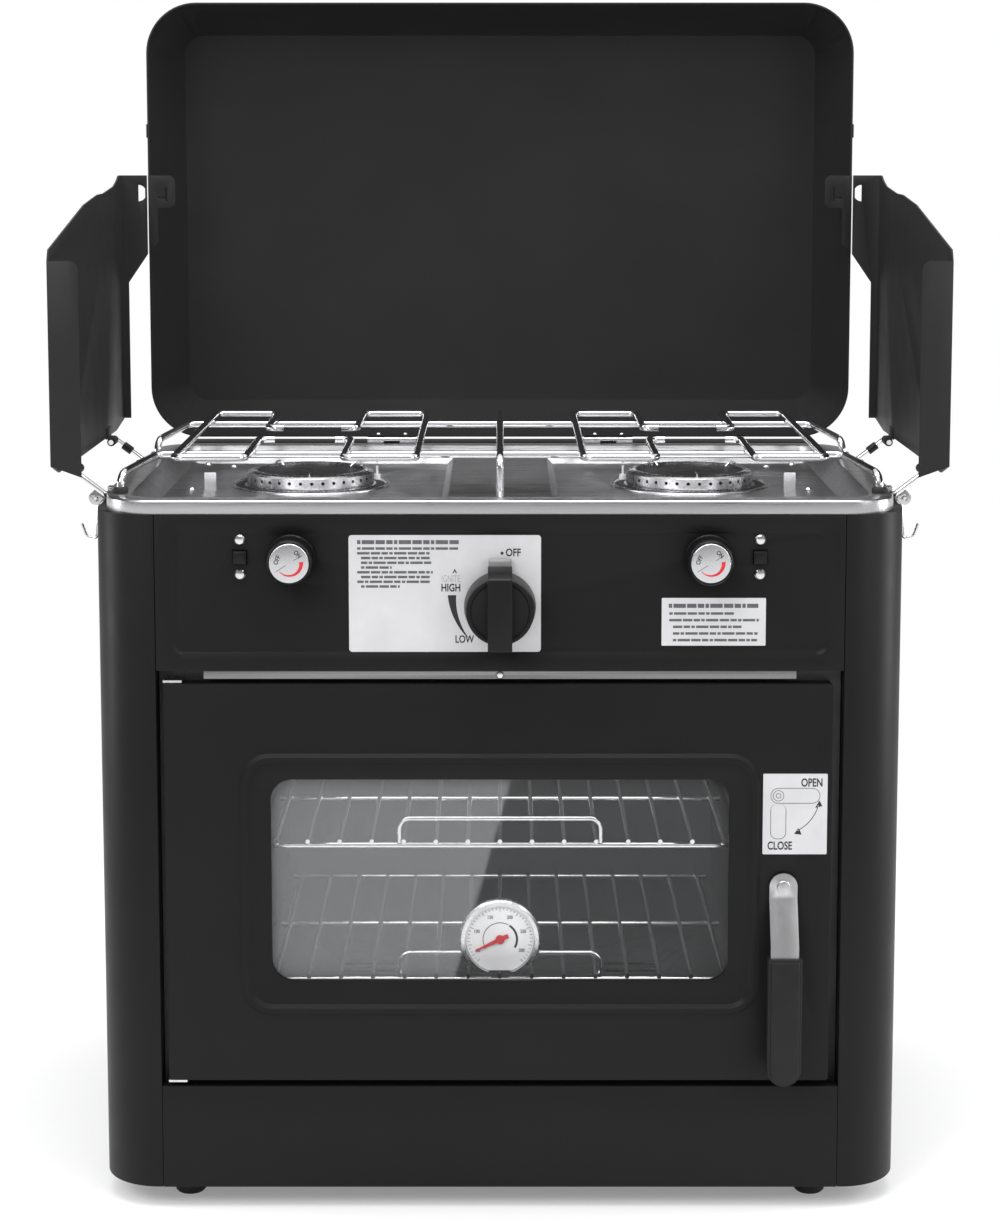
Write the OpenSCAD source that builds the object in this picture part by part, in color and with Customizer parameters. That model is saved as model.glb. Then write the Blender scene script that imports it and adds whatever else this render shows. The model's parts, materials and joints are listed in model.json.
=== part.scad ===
// Camp oven with a two-burner hob, a hinged lid and folding windscreens.
// X runs to the right, Y runs from the front panel to the back, Z is up from the floor.
// Depths in the modules are measured from the front plane of the cabinet.

/* [Cabinet] */
// Width over the two side panels
body_w = 520; // [500:1:540]
// Depth from the front plane to the back panel
body_d = 330; // [325:1:345]
// Height of the top edge of the side panels above the floor
body_top = 457; // [455:1:465]
// Radius of the two rounded front columns
corner_r = 38; // [30:1:40]
// Half of the width between the columns
front_half = 219.5; // [218:0.5:222]
// Thickness of the painted sheet
sheet = 1.2; // [0.8:0.1:1.5]
// Height of the rubber feet
foot_h = 14; // [10:1:18]
// Diameter of the rubber feet
foot_dia = 20; // [16:1:26]
// Distance of the feet from the inner returns of the columns
foot_side = 14.5; // [10:0.5:22]
// Distance of the feet from the front and the back
foot_inset = 30; // [24:1:40]

/* [Front panels] */
// Height of the top of the kick panel
kick_top = 82; // [78:1:84]
// Height of the bottom edge of the fascia
fascia_bottom = 356.6; // [354:0.2:360]
// How far the field of the fascia is pressed in
fascia_sink = 1.5; // [0.8:0.1:2.5]
// Width of the plain border round the pressed field
fascia_border = 10; // [8:0.5:10.5]
// Height of the stainless strip over the door
strip_h = 5; // [3:0.5:5.5]
// Distance of the stainless strip's ends from the columns
strip_side = 30.5; // [16:0.5:45]

/* [Controls] */
// Distance of the hob knobs from the middle
knob_x = 132.5; // [125:0.5:140]
// Height of the hob knobs
knob_z = 428.5; // [424:0.5:430]
// Diameter of a hob knob's skirt
knob_dia = 32; // [28:0.5:34]
// How far a hob knob stands out
knob_h = 17; // [12:0.5:22]
// Height of the oven knob
oven_knob_z = 398; // [394:0.5:402]
// Diameter of the oven knob
oven_knob_dia = 46; // [40:0.5:50]
// How far the oven knob stands out
oven_knob_h = 28; // [22:0.5:32]
// Width of the grip across the oven knob
oven_grip_w = 16; // [12:0.5:20]
// Diameter of the valve spindles
spindle_dia = 6; // [5:0.5:7]
// Distance of the igniter buttons from the middle
button_x = 165; // [160:0.5:172]
// Height of the igniter buttons
button_z = 429.6; // [426:0.2:432]
// Side of an igniter button
button_side = 8.5; // [7:0.5:10]
// Travel of an igniter button
button_travel = 3; // [2:0.5:4]

/* [Hob] */
// Distance of the hob tray from the side of the cabinet
tray_side = 6.8; // [6.6:0.1:9]
// Depth of the front edge of the tray
tray_front = 1; // [0:0.5:3]
// Depth of the back edge of the tray
tray_back = 304; // [300:0.5:304]
// Height of the tray's rim
tray_top = 466; // [465:0.5:466]
// Radius of the tray's corners
tray_r = 32; // [26:1:34]
// Width of the flat rim
rim_w = 15; // [12:0.5:18]
// How far the tray floor lies under the rim
tray_sink = 12; // [8:0.5:13]
// Thickness of the tray sheet
tray_sheet = 0.9; // [0.6:0.1:1.2]
// Distance of the burners from the middle
burner_x = 131.5; // [125:0.5:136]
// Depth of the burners
burner_y = 165; // [150:1:175]
// Diameter of a burner ring
burner_dia = 88; // [80:1:92]
// Height of a burner ring
burner_h = 10; // [8:0.5:11]
// Number of flame ports in a burner ring
port_count = 36; // [24:1:40]
// Diameter of a flame port
port_dia = 2.2; // [1.6:0.1:2.6]

/* [Pot grate] */
// Diameter of the grate wire
grate_wire = 5; // [4:0.5:5]
// Height of the two long wires
bridge_z = 484.2; // [482:0.1:485]
// Depth of the front long wire
bridge_front = 91; // [80:1:100]
// Depth of the back long wire
bridge_back = 270; // [262:1:275]
// Depth of the front of the wire loops
loop_front = 32; // [26:1:40]
// Depth of the back of the wire loops
loop_back = 291.5; // [290:0.5:292]

/* [Lid] */
// How far the lid's edge lies inside the side of the cabinet
lid_side = 0; // [0:0.5:2]
// Length of the lid from the hinge to the free edge
lid_len = 320.5; // [316:0.5:324]
// Depth of the lid's pressing
lid_depth = 55; // [50:1:60]
// How far the lid's walls lean in
lid_draft = 21; // [16:0.5:25]
// Radius of the lid's corners at the rim
lid_r = 37; // [30:1:40]
// Depth of the lid's rim plane when it stands open
lid_plane = 306; // [306:0.1:307]
// Height of the open lid's bottom edge
lid_bottom = 470.5; // [470.5:0.1:471]

/* [Windscreens] */
// Diameter of the wire that carries a windscreen
arm_wire = 3.6; // [3:0.1:3.6]
// Distance of the wire's lower pivot from the side of the cabinet
arm_side = 3; // [2.8:0.1:3.2]
// Height of the wire's lower pivot
arm_z = 461.5; // [461:0.1:462]
// How far the upper pivot stands outside the lower one
arm_out = 20.5; // [19:0.5:22]
// How far the upper pivot stands over the lower one
arm_up = 15.5; // [14.5:0.5:16]
// Depth of the front arm
arm_front = 57; // [50:1:65]
// Depth of the back arm
arm_back = 238; // [236:1:245]
// How far the windscreen's front edge stands outside its pivot
screen_out_front = 7; // [5.5:0.5:9]
// How far the windscreen's back edge stands outside its pivot
screen_out_back = 3.5; // [3:0.5:5]
// Depth of the windscreen's front edge
screen_front = 5; // [3:0.5:8]
// Depth of the windscreen's back face
screen_back = 304.2; // [303:0.1:304.4]
// Height of the windscreen's back top corner
screen_top = 665; // [655:1:668]
// Width of the flange on the windscreen's front edge
screen_flange = 19.5; // [14:0.5:20]
// Gap between the windscreen's back flange and the side of the cabinet
screen_gap = 0.6; // [0.5:0.1:2]

/* [Oven door] */
// Gap between the door's hinge side and the left column
door_gap_left = 5; // [3.5:0.5:6.5]
// Gap between the door's lever side and the right column
door_gap_right = 7; // [3.5:0.5:9.5]
// Bottom edge of the door
door_z0 = 86.6; // [86:0.2:90]
// Top edge of the door
door_z1 = 348; // [340:0.5:348]
// Thickness of the door without its inner panel
door_t = 12; // [10:0.5:12]
// Distance of the window from the columns
window_side = 72.5; // [69.5:0.5:89.5]
// Bottom edge of the window
window_z0 = 153; // [145:1:160]
// Top edge of the window
window_z1 = 286; // [280:1:292]
// Radius of the window's corners
window_r = 14; // [10:0.5:18]
// Thickness of the window glass
glass_t = 4; // [3:0.5:5]
// Diameter of the door's hinge pins
hinge_pin_dia = 5; // [4:0.5:5]

/* [Door lever] */
// Distance of the lever's pivot from the edge of the door
lever_side = 30.5; // [27:0.5:34]
// Height of the lever's pivot
lever_z = 216; // [210:1:222]
// Width of the lever's strap
lever_w = 18; // [15:0.5:20]
// Length of the lever from pivot to tip
lever_len = 127; // [118:1:130]
// How far the grip stands off the door
grip_off = 14; // [10:0.5:16]
// Width of the grip
grip_w = 22; // [19:0.5:24]
// Length of the grip
grip_len = 84; // [76:1:88]

/* [Oven inside] */
// Half of the width of the oven space
oven_half = 160; // [158:1:170]
// Height of the oven floor plate
oven_floor = 96; // [92:1:98]
// Height of the oven ceiling
oven_ceiling = 335; // [325:1:340]
// Depth of the oven's back wall
oven_back = 300; // [296:1:305]
// Height of the lower rack's front bar
lower_rack_z = 139; // [135:1:145]
// Height of the upper rack's front bar
upper_rack_z = 230; // [225:1:236]
// Number of wires in a rack
rack_wires = 15; // [11:2:15]
// Distance between the wires of a rack
rack_pitch = 21.1; // [20:0.1:21.3]
// Diameter of the thermometer
dial_dia = 54; // [46:1:58]

/* [Hidden] */
$fn = 48;
eps = 0.01;
// Running clearance on the radius of a pin in its bore
run = 0.06;
// Clearance between pieces that slide or swing past each other
slide = 0.4;
body_half = body_w / 2;
tray_half = body_half - tray_side;
lid_half = body_half - lid_side;
arm_x = body_half - arm_side;
door_x0 = -front_half + door_gap_left;
door_x1 = front_half - door_gap_right;
window_half = front_half - window_side;
lever_x = door_x1 - lever_side;
strip_half = front_half - strip_side;
foot_x = front_half - foot_side;
// Inner return of the front columns, and the gutter that the tray stands on
return_w = 14;
gutter_w = 24;
fascia_top = body_top - 0.2;
fascia_half = front_half - 0.5;
fascia_face = fascia_sink;
fascia_back = fascia_face + sheet;
knob_gap = 1;
// Screws over and under an igniter button, from its middle
button_screws = [-11, 11.2];
y_front = fascia_face - knob_gap - oven_knob_h;
y_rear = lid_plane + lid_depth;
y_mid = (y_front + y_rear) / 2;
// Hinge of the lid: a small knuckle under the open lid's bottom edge
lid_knuckle_r = 2;
lid_axis_z = lid_bottom - lid_knuckle_r - 0.1;
lid_axis_y = lid_plane + 0.4;
lid_hinge_x = 81;
lid_hinge_len = 36;
lid_pin_r = 1;
rivet_pitch = 20;
rivet_y = lid_plane + 3.7;
rim_band = 6;
deck_z = tray_top + 0.2;
// Hinge of the door
door_face = -1;
door_back = door_face + door_t;
door_axis_x = door_x0 + 5;
door_axis_y = door_face + door_t / 2;
liner_face = door_back + 4;
liner_t = 1;
lever_shaft_r = 5;
liner_bottom = 70;
strip_z = (door_z1 + fascia_bottom) / 2 - strip_h / 2 + 1.2;
tray_mid = (tray_front + tray_back) / 2;
tray_len = tray_back - tray_front;
tray_floor = tray_top - tray_sink;
well_r = burner_dia / 2 + 12;
well_sink = 0.4;
electrode_x = burner_x - 45;
electrode_y = burner_y + 24;
electrode_r = 2.6;
tab_x = 198;
tab_y = 136;
tab_w = 8;
loop_z = bridge_z + grate_wire + 0.2;
// Feet of the long grate wires on the tray's rim
grate_foot_x = tray_half - rim_w / 2 - 0.7;
grate_foot_front = tray_front + 36;
grate_foot_back = tray_back - 82;
grate_shoulder = 17;
// Outer and inner side of a grate loop, from its burner
loop_outer = 78.5;
loop_inner = 32.5;
loop_gap_front = burner_y - 35;
loop_gap_back = burner_y + 36;
rack_half = oven_half - 5;
rack_front = 45;
rack_back = oven_back - 10;
rack_bar = 4;
rack_wire = 3;
// Sliver of air at a spot weld
weld = 0.02;
// The handle's legs stand just outside the third wire from the middle
handle_half = 3 * rack_pitch + rack_wire + 0.1;
ledge_w = 8;
ledge_t = 1.5;
// Small gap under a loose piece at rest
rest_gap = 0.3;
handle_h = 18;
arm_r = arm_wire / 2;
pivot_x = arm_x + arm_out;
pivot_z = arm_z + arm_up;
screen_x_front = pivot_x + screen_out_front;
screen_x_back = pivot_x + screen_out_back;
screen_reach = body_half + screen_gap;
latch_y = 73;
latch_x = body_half + 6;
latch_z = body_top + 1;
latch_wire_r = 1.05;
valve_y = 12;
valve_len = 34;
manifold_y = valve_y + 22;
manifold_z = 410;
manifold_r = 6;
manifold_half = front_half - 19.5;
feed_x = manifold_half - manifold_r;
feed_y = 200;
inlet_x = oven_half + 10;
inlet_z = 120;
spindle_r = spindle_dia / 2;
dial_y = rack_front - 8;
dial_z = lower_rack_z + 30;
dial_r = dial_dia / 2;
hook_z = lower_rack_z + handle_h + rack_wire / 2 + rest_gap;
paint = [0.13, 0.13, 0.14];
steel = [0.78, 0.78, 0.8];
chrome = [0.85, 0.86, 0.88];
rubber = [0.08, 0.08, 0.08];

function unit(v) = v / norm(v);

// Draws with local X and Y as the front view, and local Z towards the viewer
module front_view(depth = 0) {
    translate([0, depth, 0]) rotate([90, 0, 0]) children();
}

// Draws with local X and Y as the front view, and local Z away from the viewer
module lid_view() {
    translate([0, lid_plane, lid_bottom]) mirror([0, 1, 0]) rotate([90, 0, 0]) children();
}

module both_sides() {
    for (m = [0, 1]) mirror([m, 0, 0]) children();
}

module rounded_rect(x0, x1, y0, y1, r) {
    translate([x0 + r, y0]) square([x1 - x0 - 2 * r, y1 - y0]);
    translate([x0, y0 + r]) square([x1 - x0, y1 - y0 - 2 * r]);
    for (x = [x0 + r, x1 - r], y = [y0 + r, y1 - r]) translate([x, y]) circle(r);
}

// Sweeps a profile, drawn as (outwards, upwards), round a rounded rectangle
module ring_sweep(half_x, half_y, r) {
    for (k = [0:3]) {
        reach = (k % 2 == 0) ? half_x : half_y;
        side = (k % 2 == 0) ? half_y - r : half_x - r;
        rotate([0, 0, 90 * k]) {
            translate([reach, side, 0]) rotate([90, 0, 0]) linear_extrude(2 * side) children();
            translate([reach - r, side, 0]) rotate_extrude(angle = 90) translate([r, 0]) children();
        }
    }
}

module rod(a, b, r) {
    v = b - a;
    axis = unit(v);
    translate(a) rotate([0, acos(axis[2]), atan2(axis[1], axis[0])]) cylinder(h = norm(v), r = r);
}

// Quarter or other part of a ring that turns from direction u to direction v at corner p
module bend(p, u, v, r, bend_r) {
    turn = acos(u * v);
    start = p - u * bend_r * tan(turn / 2);
    centre = p + unit(v - u) * bend_r / cos(turn / 2);
    e1 = unit(start - centre);
    e3 = unit(cross(u, v));
    multmatrix([[e1[0], u[0], e3[0], centre[0]], [e1[1], u[1], e3[1], centre[1]],
        [e1[2], u[2], e3[2], centre[2]], [0, 0, 0, 1]])
        rotate_extrude(angle = turn) translate([bend_r, 0]) circle(r);
}

// Wire of round section that is bent to a radius at each inner point
module bent_wire(points, r, bend_r) {
    last = len(points) - 1;
    dirs = [for (i = [0:last - 1]) unit(points[i + 1] - points[i])];
    cut = [for (i = [0:last])
        (i == 0 || i == last) ? 0 : bend_r * tan(acos(dirs[i - 1] * dirs[i]) / 2)];
    for (i = [0:last - 1])
        rod(points[i] + dirs[i] * cut[i], points[i + 1] - dirs[i] * cut[i + 1], r);
    for (i = [1:last - 1]) bend(points[i], dirs[i - 1], dirs[i], r, bend_r);
}

// Wire whose bends lie at any angle, swept as one closed skin of flat sides
module swept_wire(points, r, bend_r, steps = 4, sides = 12) {
    last = len(points) - 1;
    dirs = [for (i = [0:last - 1]) unit(points[i + 1] - points[i])];
    path = [points[0],
        for (i = [1:last - 1]) let (u = dirs[i - 1], v = dirs[i], turn = acos(u * v),
            start = points[i] - u * bend_r * tan(turn / 2),
            centre = points[i] + unit(v - u) * bend_r / cos(turn / 2), arm = start - centre)
            for (k = [0:steps]) centre + arm * cos(turn * k / steps) + u * bend_r * sin(turn * k / steps),
        points[last]];
    end = len(path) - 1;
    rings = [for (i = [0:end]) let (t = unit(path[min(i + 1, end)] - path[max(i - 1, 0)]),
        n = unit(cross(t, unit([1, 0.35, 1]))), b = cross(t, n))
        for (k = [0:sides - 1]) path[i] + r * (n * cos(360 * k / sides) + b * sin(360 * k / sides))];
    polyhedron(rings, [[for (k = [0:sides - 1]) k],
        for (i = [0:end - 1], k = [0:sides - 1]) let (m = (k + 1) % sides)
            [i * sides + k, (i + 1) * sides + k, (i + 1) * sides + m, i * sides + m],
        [for (k = [sides - 1:-1:0]) end * sides + k]]);
}

// Pan head of a screw, with its axis along local Z
module pan_head(r, h) {
    rotate_extrude() polygon([[0, 0], [r, 0], [r, h * 0.4], [r * 0.75, h * 0.85], [0, h]]);
}

module side_panels() {
    inner_r = corner_r - sheet;
    color(paint) {
        translate([0, 0, foot_h]) linear_extrude(body_top - foot_h) difference() {
            rounded_rect(-body_half, body_half, 0, body_d + corner_r, corner_r);
            rounded_rect(-body_half + sheet, body_half - sheet, sheet, body_d + corner_r - sheet, inner_r);
            translate([-front_half, -1]) square([2 * front_half, corner_r + 1]);
            translate([-body_w, body_d]) square([2 * body_w, 2 * corner_r]);
        }
        both_sides() {
            // Inner return beside the door, and the gutter that the tray stands on
            translate([front_half, sheet, foot_h]) cube([sheet, return_w, body_top - foot_h]);
            translate([body_half - gutter_w, corner_r, body_top - sheet])
                cube([gutter_w - sheet, body_d - corner_r, sheet]);
            translate([body_half - gutter_w, body_d - sheet, foot_h])
                cube([gutter_w - sheet, sheet, body_top - foot_h - sheet]);
            intersection() {
                translate([front_half, 0, body_top - sheet]) linear_extrude(sheet)
                    rounded_rect(-body_half, body_half - sheet - front_half, sheet, 3 * corner_r, inner_r);
                union() {
                    translate([front_half + sheet, sheet, 0]) cube([body_half, return_w, body_top]);
                    translate([body_half - gutter_w, sheet, 0]) cube([gutter_w, corner_r - sheet, body_top]);
                }
            }
        }
    }
}

module back_panel() {
    half = body_half - gutter_w - 0.3;
    color(paint) difference() {
        union() {
            translate([-half, body_d - sheet, foot_h + sheet])
                cube([2 * half, sheet, deck_z - foot_h - sheet]);
            translate([-half, tray_back + slide, deck_z - sheet])
                cube([2 * half, body_d - tray_back - slide, sheet]);
        }
        // Cooling slots under the hob and the bore for the gas inlet
        for (x = [-150:20:150], z = [body_top - 57, body_top - 32])
            translate([x - 6, body_d - 2 * sheet, z]) cube([12, 3 * sheet, 4]);
        translate([inlet_x, body_d + 1, inlet_z]) rotate([90, 0, 0]) cylinder(r = 9, h = 4 * sheet);
    }
}

module base_and_kick_panel() {
    color(paint) difference() {
        union() {
            translate([-front_half + 0.3, 0, foot_h]) cube([2 * front_half - 0.6, sheet, kick_top - foot_h]);
            translate([-front_half + 0.3, 0, foot_h]) cube([2 * front_half - 0.6, body_d - 2 * sheet, sheet]);
            translate([-body_half + sheet + 0.2, corner_r, foot_h])
                cube([body_w - 2 * sheet - 0.4, body_d - corner_r - 2 * sheet, sheet]);
            translate([-front_half + 0.3, sheet, kick_top - sheet]) cube([2 * front_half - 0.6, 9, sheet]);
        }
        for (x = [-foot_x, foot_x], y = [foot_inset, body_d - foot_inset])
            translate([x, y, foot_h - 1]) cylinder(r = 2.1, h = sheet + 2);
    }
}

module feet() {
    color(rubber) for (x = [-foot_x, foot_x], y = [foot_inset, body_d - foot_inset])
        translate([x, y, 0]) rotate_extrude() polygon([[0, 0], [foot_dia / 2 - 1.5, 0],
            [foot_dia / 2, 1.5], [foot_dia / 2, foot_h], [2, foot_h], [2, foot_h + 4], [0, foot_h + 4]]);
}

module fascia() {
    panel_half = fascia_half - fascia_border;
    z0 = fascia_bottom + fascia_border;
    z1 = fascia_top - fascia_border;
    slope = 2;
    edge_r = 8;
    color(paint) difference() {
        union() {
            front_view(sheet) linear_extrude(sheet) difference() {
                translate([-fascia_half, fascia_bottom])
                    square([2 * fascia_half, fascia_top - fascia_bottom]);
                rounded_rect(-panel_half, panel_half, z0, z1, edge_r);
            }
            translate([-fascia_half, 0, fascia_bottom]) cube([2 * fascia_half, 10 + sheet, sheet]);
            front_view(fascia_back) linear_extrude(sheet)
                rounded_rect(-panel_half + slope, panel_half - slope, z0 + slope, z1 - slope, edge_r - slope);
            // Pressed step between the border and the field
            translate([0, 0, (z0 + z1) / 2]) front_view()
                ring_sweep(panel_half - slope, (z1 - z0) / 2 - slope, edge_r - slope)
                    polygon([[-1, -fascia_face], [0, -fascia_face], [slope, 0], [slope + 1, 0],
                        [slope + 1, -sheet], [slope, -sheet], [0, -fascia_back], [-1, -fascia_back]]);
        }
        front_view(fascia_back + 1) {
            translate([0, oven_knob_z, 0]) cylinder(r = spindle_r + 2, h = 9);
            for (s = [-1, 1]) {
                translate([s * knob_x, knob_z, 0]) cylinder(r = spindle_r + 2, h = 9);
                translate([s * button_x - button_side / 2 - slide, button_z - button_side / 2 - slide, 0])
                    cube([button_side + 2 * slide, button_side + 2 * slide, 9]);
                for (dz = button_screws) translate([s * button_x, button_z + dz, 0]) cylinder(r = 2, h = 9);
            }
        }
    }
}

module divider_strip() {
    color(steel) difference() {
        union() {
            translate([-strip_half, 2, strip_z]) cube([2 * strip_half, 1, strip_h]);
            translate([-strip_half, 3, strip_z + strip_h - 1]) cube([2 * strip_half, liner_face - 3, 1]);
        }
        translate([0, 5, strip_z + strip_h / 2]) rotate([90, 0, 0]) cylinder(r = 1.4, h = 6);
    }
}

module front_screws() {
    color(chrome) {
        for (s = [-1, 1], dz = button_screws) translate([s * button_x, 0, button_z + dz])
            front_view(fascia_face) {
                pan_head(3.5, 2.2);
                translate([0, 0, -7]) cylinder(r = 1.9, h = 7);
            }
        translate([0, 0, strip_z + strip_h / 2]) front_view(2) {
            pan_head(2.4, 1.6);
            translate([0, 0, -5]) cylinder(r = 1.3, h = 5);
        }
    }
}

module oven_liner() {
    box_face = liner_face + liner_t + weld;
    depth = oven_back - box_face;
    color([0.4, 0.4, 0.41]) {
        difference() {
            translate([-oven_half - liner_t, box_face, liner_bottom])
                cube([2 * (oven_half + liner_t), depth + liner_t, oven_ceiling + liner_t - liner_bottom]);
            translate([-oven_half, box_face - 1, liner_bottom + liner_t])
                cube([2 * oven_half, depth + 1, oven_ceiling - liner_bottom - liner_t]);
        }
        // Front flange, welded to the box
        difference() {
            translate([-front_half + slide, liner_face, liner_bottom])
                cube([2 * (front_half - slide), liner_t, fascia_bottom - liner_bottom]);
            translate([-oven_half, liner_face - 1, oven_floor])
                cube([2 * oven_half, liner_t + 2, oven_ceiling - oven_floor]);
        }
        // Ledges, welded to the side walls
        both_sides() for (z = [lower_rack_z, upper_rack_z, oven_floor - sheet + rack_bar / 2 + rest_gap])
            translate([oven_half - ledge_w - weld, rack_front - 10, z - rack_bar / 2 - ledge_t - rest_gap])
                cube([ledge_w, oven_back - rack_front + 10 - weld, ledge_t]);
    }
}

module slot_2d(length, width) {
    square([length - width, width], center = true);
    for (s = [-1, 1]) translate([s * (length - width) / 2, 0]) circle(d = width);
}

module oven_floor_plate() {
    color([0.35, 0.35, 0.36]) translate([0, 0, oven_floor - sheet]) linear_extrude(sheet) difference() {
        translate([-oven_half + 0.5, liner_face + 2])
            square([2 * oven_half - 1, oven_back - liner_face - 2.5]);
        for (x = [-95, 0, 95], row = [0:5]) translate([x, 130 + 16 * row]) slot_2d(40, 8);
    }
}

module oven_burner() {
    y = (liner_face + oven_back) / 2;
    z = liner_bottom + 12;
    color(steel) difference() {
        union() {
            translate([-115, y, z]) rotate([0, 90, 0]) cylinder(r = 8, h = 230);
            for (x = [-90, 90]) translate([x - 6, y - 5, liner_bottom + liner_t]) cube([12, 10, 6]);
        }
        translate([-112, y, z]) rotate([0, 90, 0]) cylinder(r = 7, h = 224);
        for (x = [-100:10:100]) translate([x, y, z]) cylinder(r = 1.2, h = 10);
    }
}

module hob_tray() {
    slope = 12;
    floor_half = tray_half - rim_w - slope;
    floor_len = tray_len / 2 - rim_w - slope;
    floor_r = tray_r - rim_w - slope;
    color(steel) difference() {
        translate([0, tray_mid, 0]) union() {
            // Skirt, flat rim and sloping wall are one folded section
            ring_sweep(tray_half, tray_len / 2, tray_r) polygon([[0, body_top], [0, tray_top - 1],
                [-1, tray_top], [-rim_w, tray_top], [-rim_w - slope, tray_floor],
                [-rim_w - slope - 1, tray_floor], [-rim_w - slope - 1, tray_floor - tray_sheet],
                [-rim_w - slope + 0.4, tray_floor - tray_sheet],
                [-rim_w + 0.4, tray_top - tray_sheet], [-1.3, tray_top - tray_sheet],
                [-tray_sheet, tray_top - 1.4], [-tray_sheet, body_top]]);
            translate([0, 0, tray_floor - tray_sheet]) linear_extrude(tray_sheet)
                rounded_rect(-floor_half, floor_half, -floor_len, floor_len, floor_r);
            // Raised land between the burners
            translate([0, floor_len - 1, tray_floor - eps]) rotate([90, 0, 0])
                linear_extrude(2 * floor_len - 2) polygon([[-39, 0], [-34, 5], [34, 5], [39, 0]]);
        }
        translate([0, tray_mid + floor_len, tray_floor - tray_sheet - 1]) rotate([90, 0, 0])
            linear_extrude(2 * floor_len) polygon([[-39, 0], [-34, 5], [34, 5], [39, 0]]);
        both_sides() {
            translate([burner_x, burner_y, 0]) cylinder(r = burner_dia / 2 - 4, h = body_top + 20);
            // Shallow well round each burner
            translate([burner_x, burner_y, tray_floor - well_sink]) cylinder(r = well_r, h = 1);
            translate([electrode_x, electrode_y, tray_floor - 2]) cylinder(r = electrode_r + 0.1, h = 4);
        }
    }
}

module tray_fittings() {
    color(chrome) both_sides() {
        // Upright tab and the screws on the tray floor
        translate([tab_x - tab_w / 2, tab_y, tray_floor]) cube([tab_w, 1, tray_sink]);
        translate([tab_x - tab_w / 2, tab_y, tray_floor]) cube([tab_w, 7, 0.8]);
        for (at = [[tab_x + 13, tab_y + 1], [tray_half - 59, tray_back - 47],
            [tray_half - 39, tray_back - 34]]) translate([at[0], at[1], tray_floor]) pan_head(2.6, 1.8);
    }
}

module burner_base() {
    r = burner_dia / 2;
    color(steel) difference() {
        union() {
            translate([0, 0, tray_floor - well_sink]) rotate_extrude() polygon([[20, -18], [24, -18],
                [r - 4.2, -1.6], [r - 4.2, 0], [r + 1.5, 0], [r + 1.5, 1.2], [r - 1, 1.8],
                [20, 1.8]]);
            translate([0, 0, tray_floor - 30]) cylinder(r = 20.5, h = 26);
            // Mixing tube that runs forward to the valve
            translate([0, 0, tray_floor - 20]) rotate([90, 0, 0])
                cylinder(r = 8, h = burner_y - valve_y - valve_len - 12);
        }
        translate([0, 0, tray_floor - 20]) rotate([90, 0, 0])
            cylinder(r = 6.5, h = burner_y - valve_y - valve_len - 8);
        translate([0, 0, tray_floor - 27]) cylinder(r = 18, h = 40);
    }
}

module burner_ring() {
    r = burner_dia / 2;
    z0 = tray_floor + 1.45;
    color(chrome) difference() {
        translate([0, 0, z0]) rotate_extrude() polygon([[r - 5, 0], [r - 0.6, 0], [r, 0.6],
            [r, burner_h - 2.4], [r - 1.2, burner_h - 1.4], [r - 3, burner_h - 0.6],
            [r - 7, burner_h - 0.6], [r - 7, burner_h - 2.4], [r - 5, burner_h - 2.4]]);
        for (i = [0:port_count - 1]) rotate([0, 0, (i + 0.5) * 360 / port_count])
            translate([r - 6, 0, z0 + burner_h * 0.45]) rotate([0, 90, 0]) cylinder(d = port_dia, h = 8);
    }
}

module burner_cap() {
    r = burner_dia / 2 - 5.2;
    z0 = tray_floor + 1.45 + burner_h - 2.6;
    color(rubber) translate([0, 0, z0 - 4]) rotate_extrude()
        polygon([[0, 0], [r - 2, 0], [r - 2, 1], [r, 1.4], [r, 4], [0, 4]]);
}

module at_burner(side) {
    translate([side * burner_x, burner_y, 0]) children();
}

module igniter_electrodes() {
    color([0.9, 0.9, 0.88]) for (s = [-1, 1]) translate([s * electrode_x, electrode_y, tray_floor - 14]) {
        cylinder(r = electrode_r, h = 18);
        translate([0, 0, 18]) cylinder(r = 0.9, h = 6);
    }
}

module grate_frame() {
    r = grate_wire / 2;
    foot = grate_foot_x;
    shoulder = grate_foot_x - grate_shoulder;
    foot_z = tray_top + 1;
    color(chrome) {
        for (row = [[bridge_front, grate_foot_front], [bridge_back, grate_foot_back]])
            swept_wire([[-foot, row[1], foot_z], [-foot, row[1], foot_z + 11], [-shoulder, row[0], bridge_z],
                [shoulder, row[0], bridge_z], [foot, row[1], foot_z + 11], [foot, row[1], foot_z]], r, 8);
        bent_wire([[0, loop_front, tray_floor + 5.4], [0, loop_front, loop_z], [0, loop_back, loop_z]], r, 7);
    }
}

module grate_loops() {
    r = grate_wire / 2;
    // Each loop as outer side, inner side and the way its open tips turn
    a = loop_gap_front;
    b = loop_gap_back;
    loops = [[loop_outer, loop_inner, -1], [1 - loop_outer, 2 - loop_inner, 1]];
    color(chrome) for (s = [-1, 1], loop = loops) {
        far = s * (burner_x + loop[0]);
        near = s * (burner_x + loop[1]);
        tip = near + s * 11 * loop[2];
        bent_wire([[tip, a, loop_z], [near, a, loop_z], [near, loop_front, loop_z],
            [far, loop_front, loop_z], [far, loop_back, loop_z], [near, loop_back, loop_z],
            [near, b, loop_z], [tip, b, loop_z]], r, 6);
    }
}

module grate_grommets() {
    // Rubber sockets that the feet of the long wires stand in
    bore = grate_wire / 2 + 0.05;
    color(rubber) both_sides() for (y = [grate_foot_front, grate_foot_back])
        translate([grate_foot_x, y, tray_top]) rotate_extrude()
            polygon([[bore, 1], [bore, 4], [4.4, 3.4], [5, 2.4], [5, 0], [0, 0], [0, 1]]);
}

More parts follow.
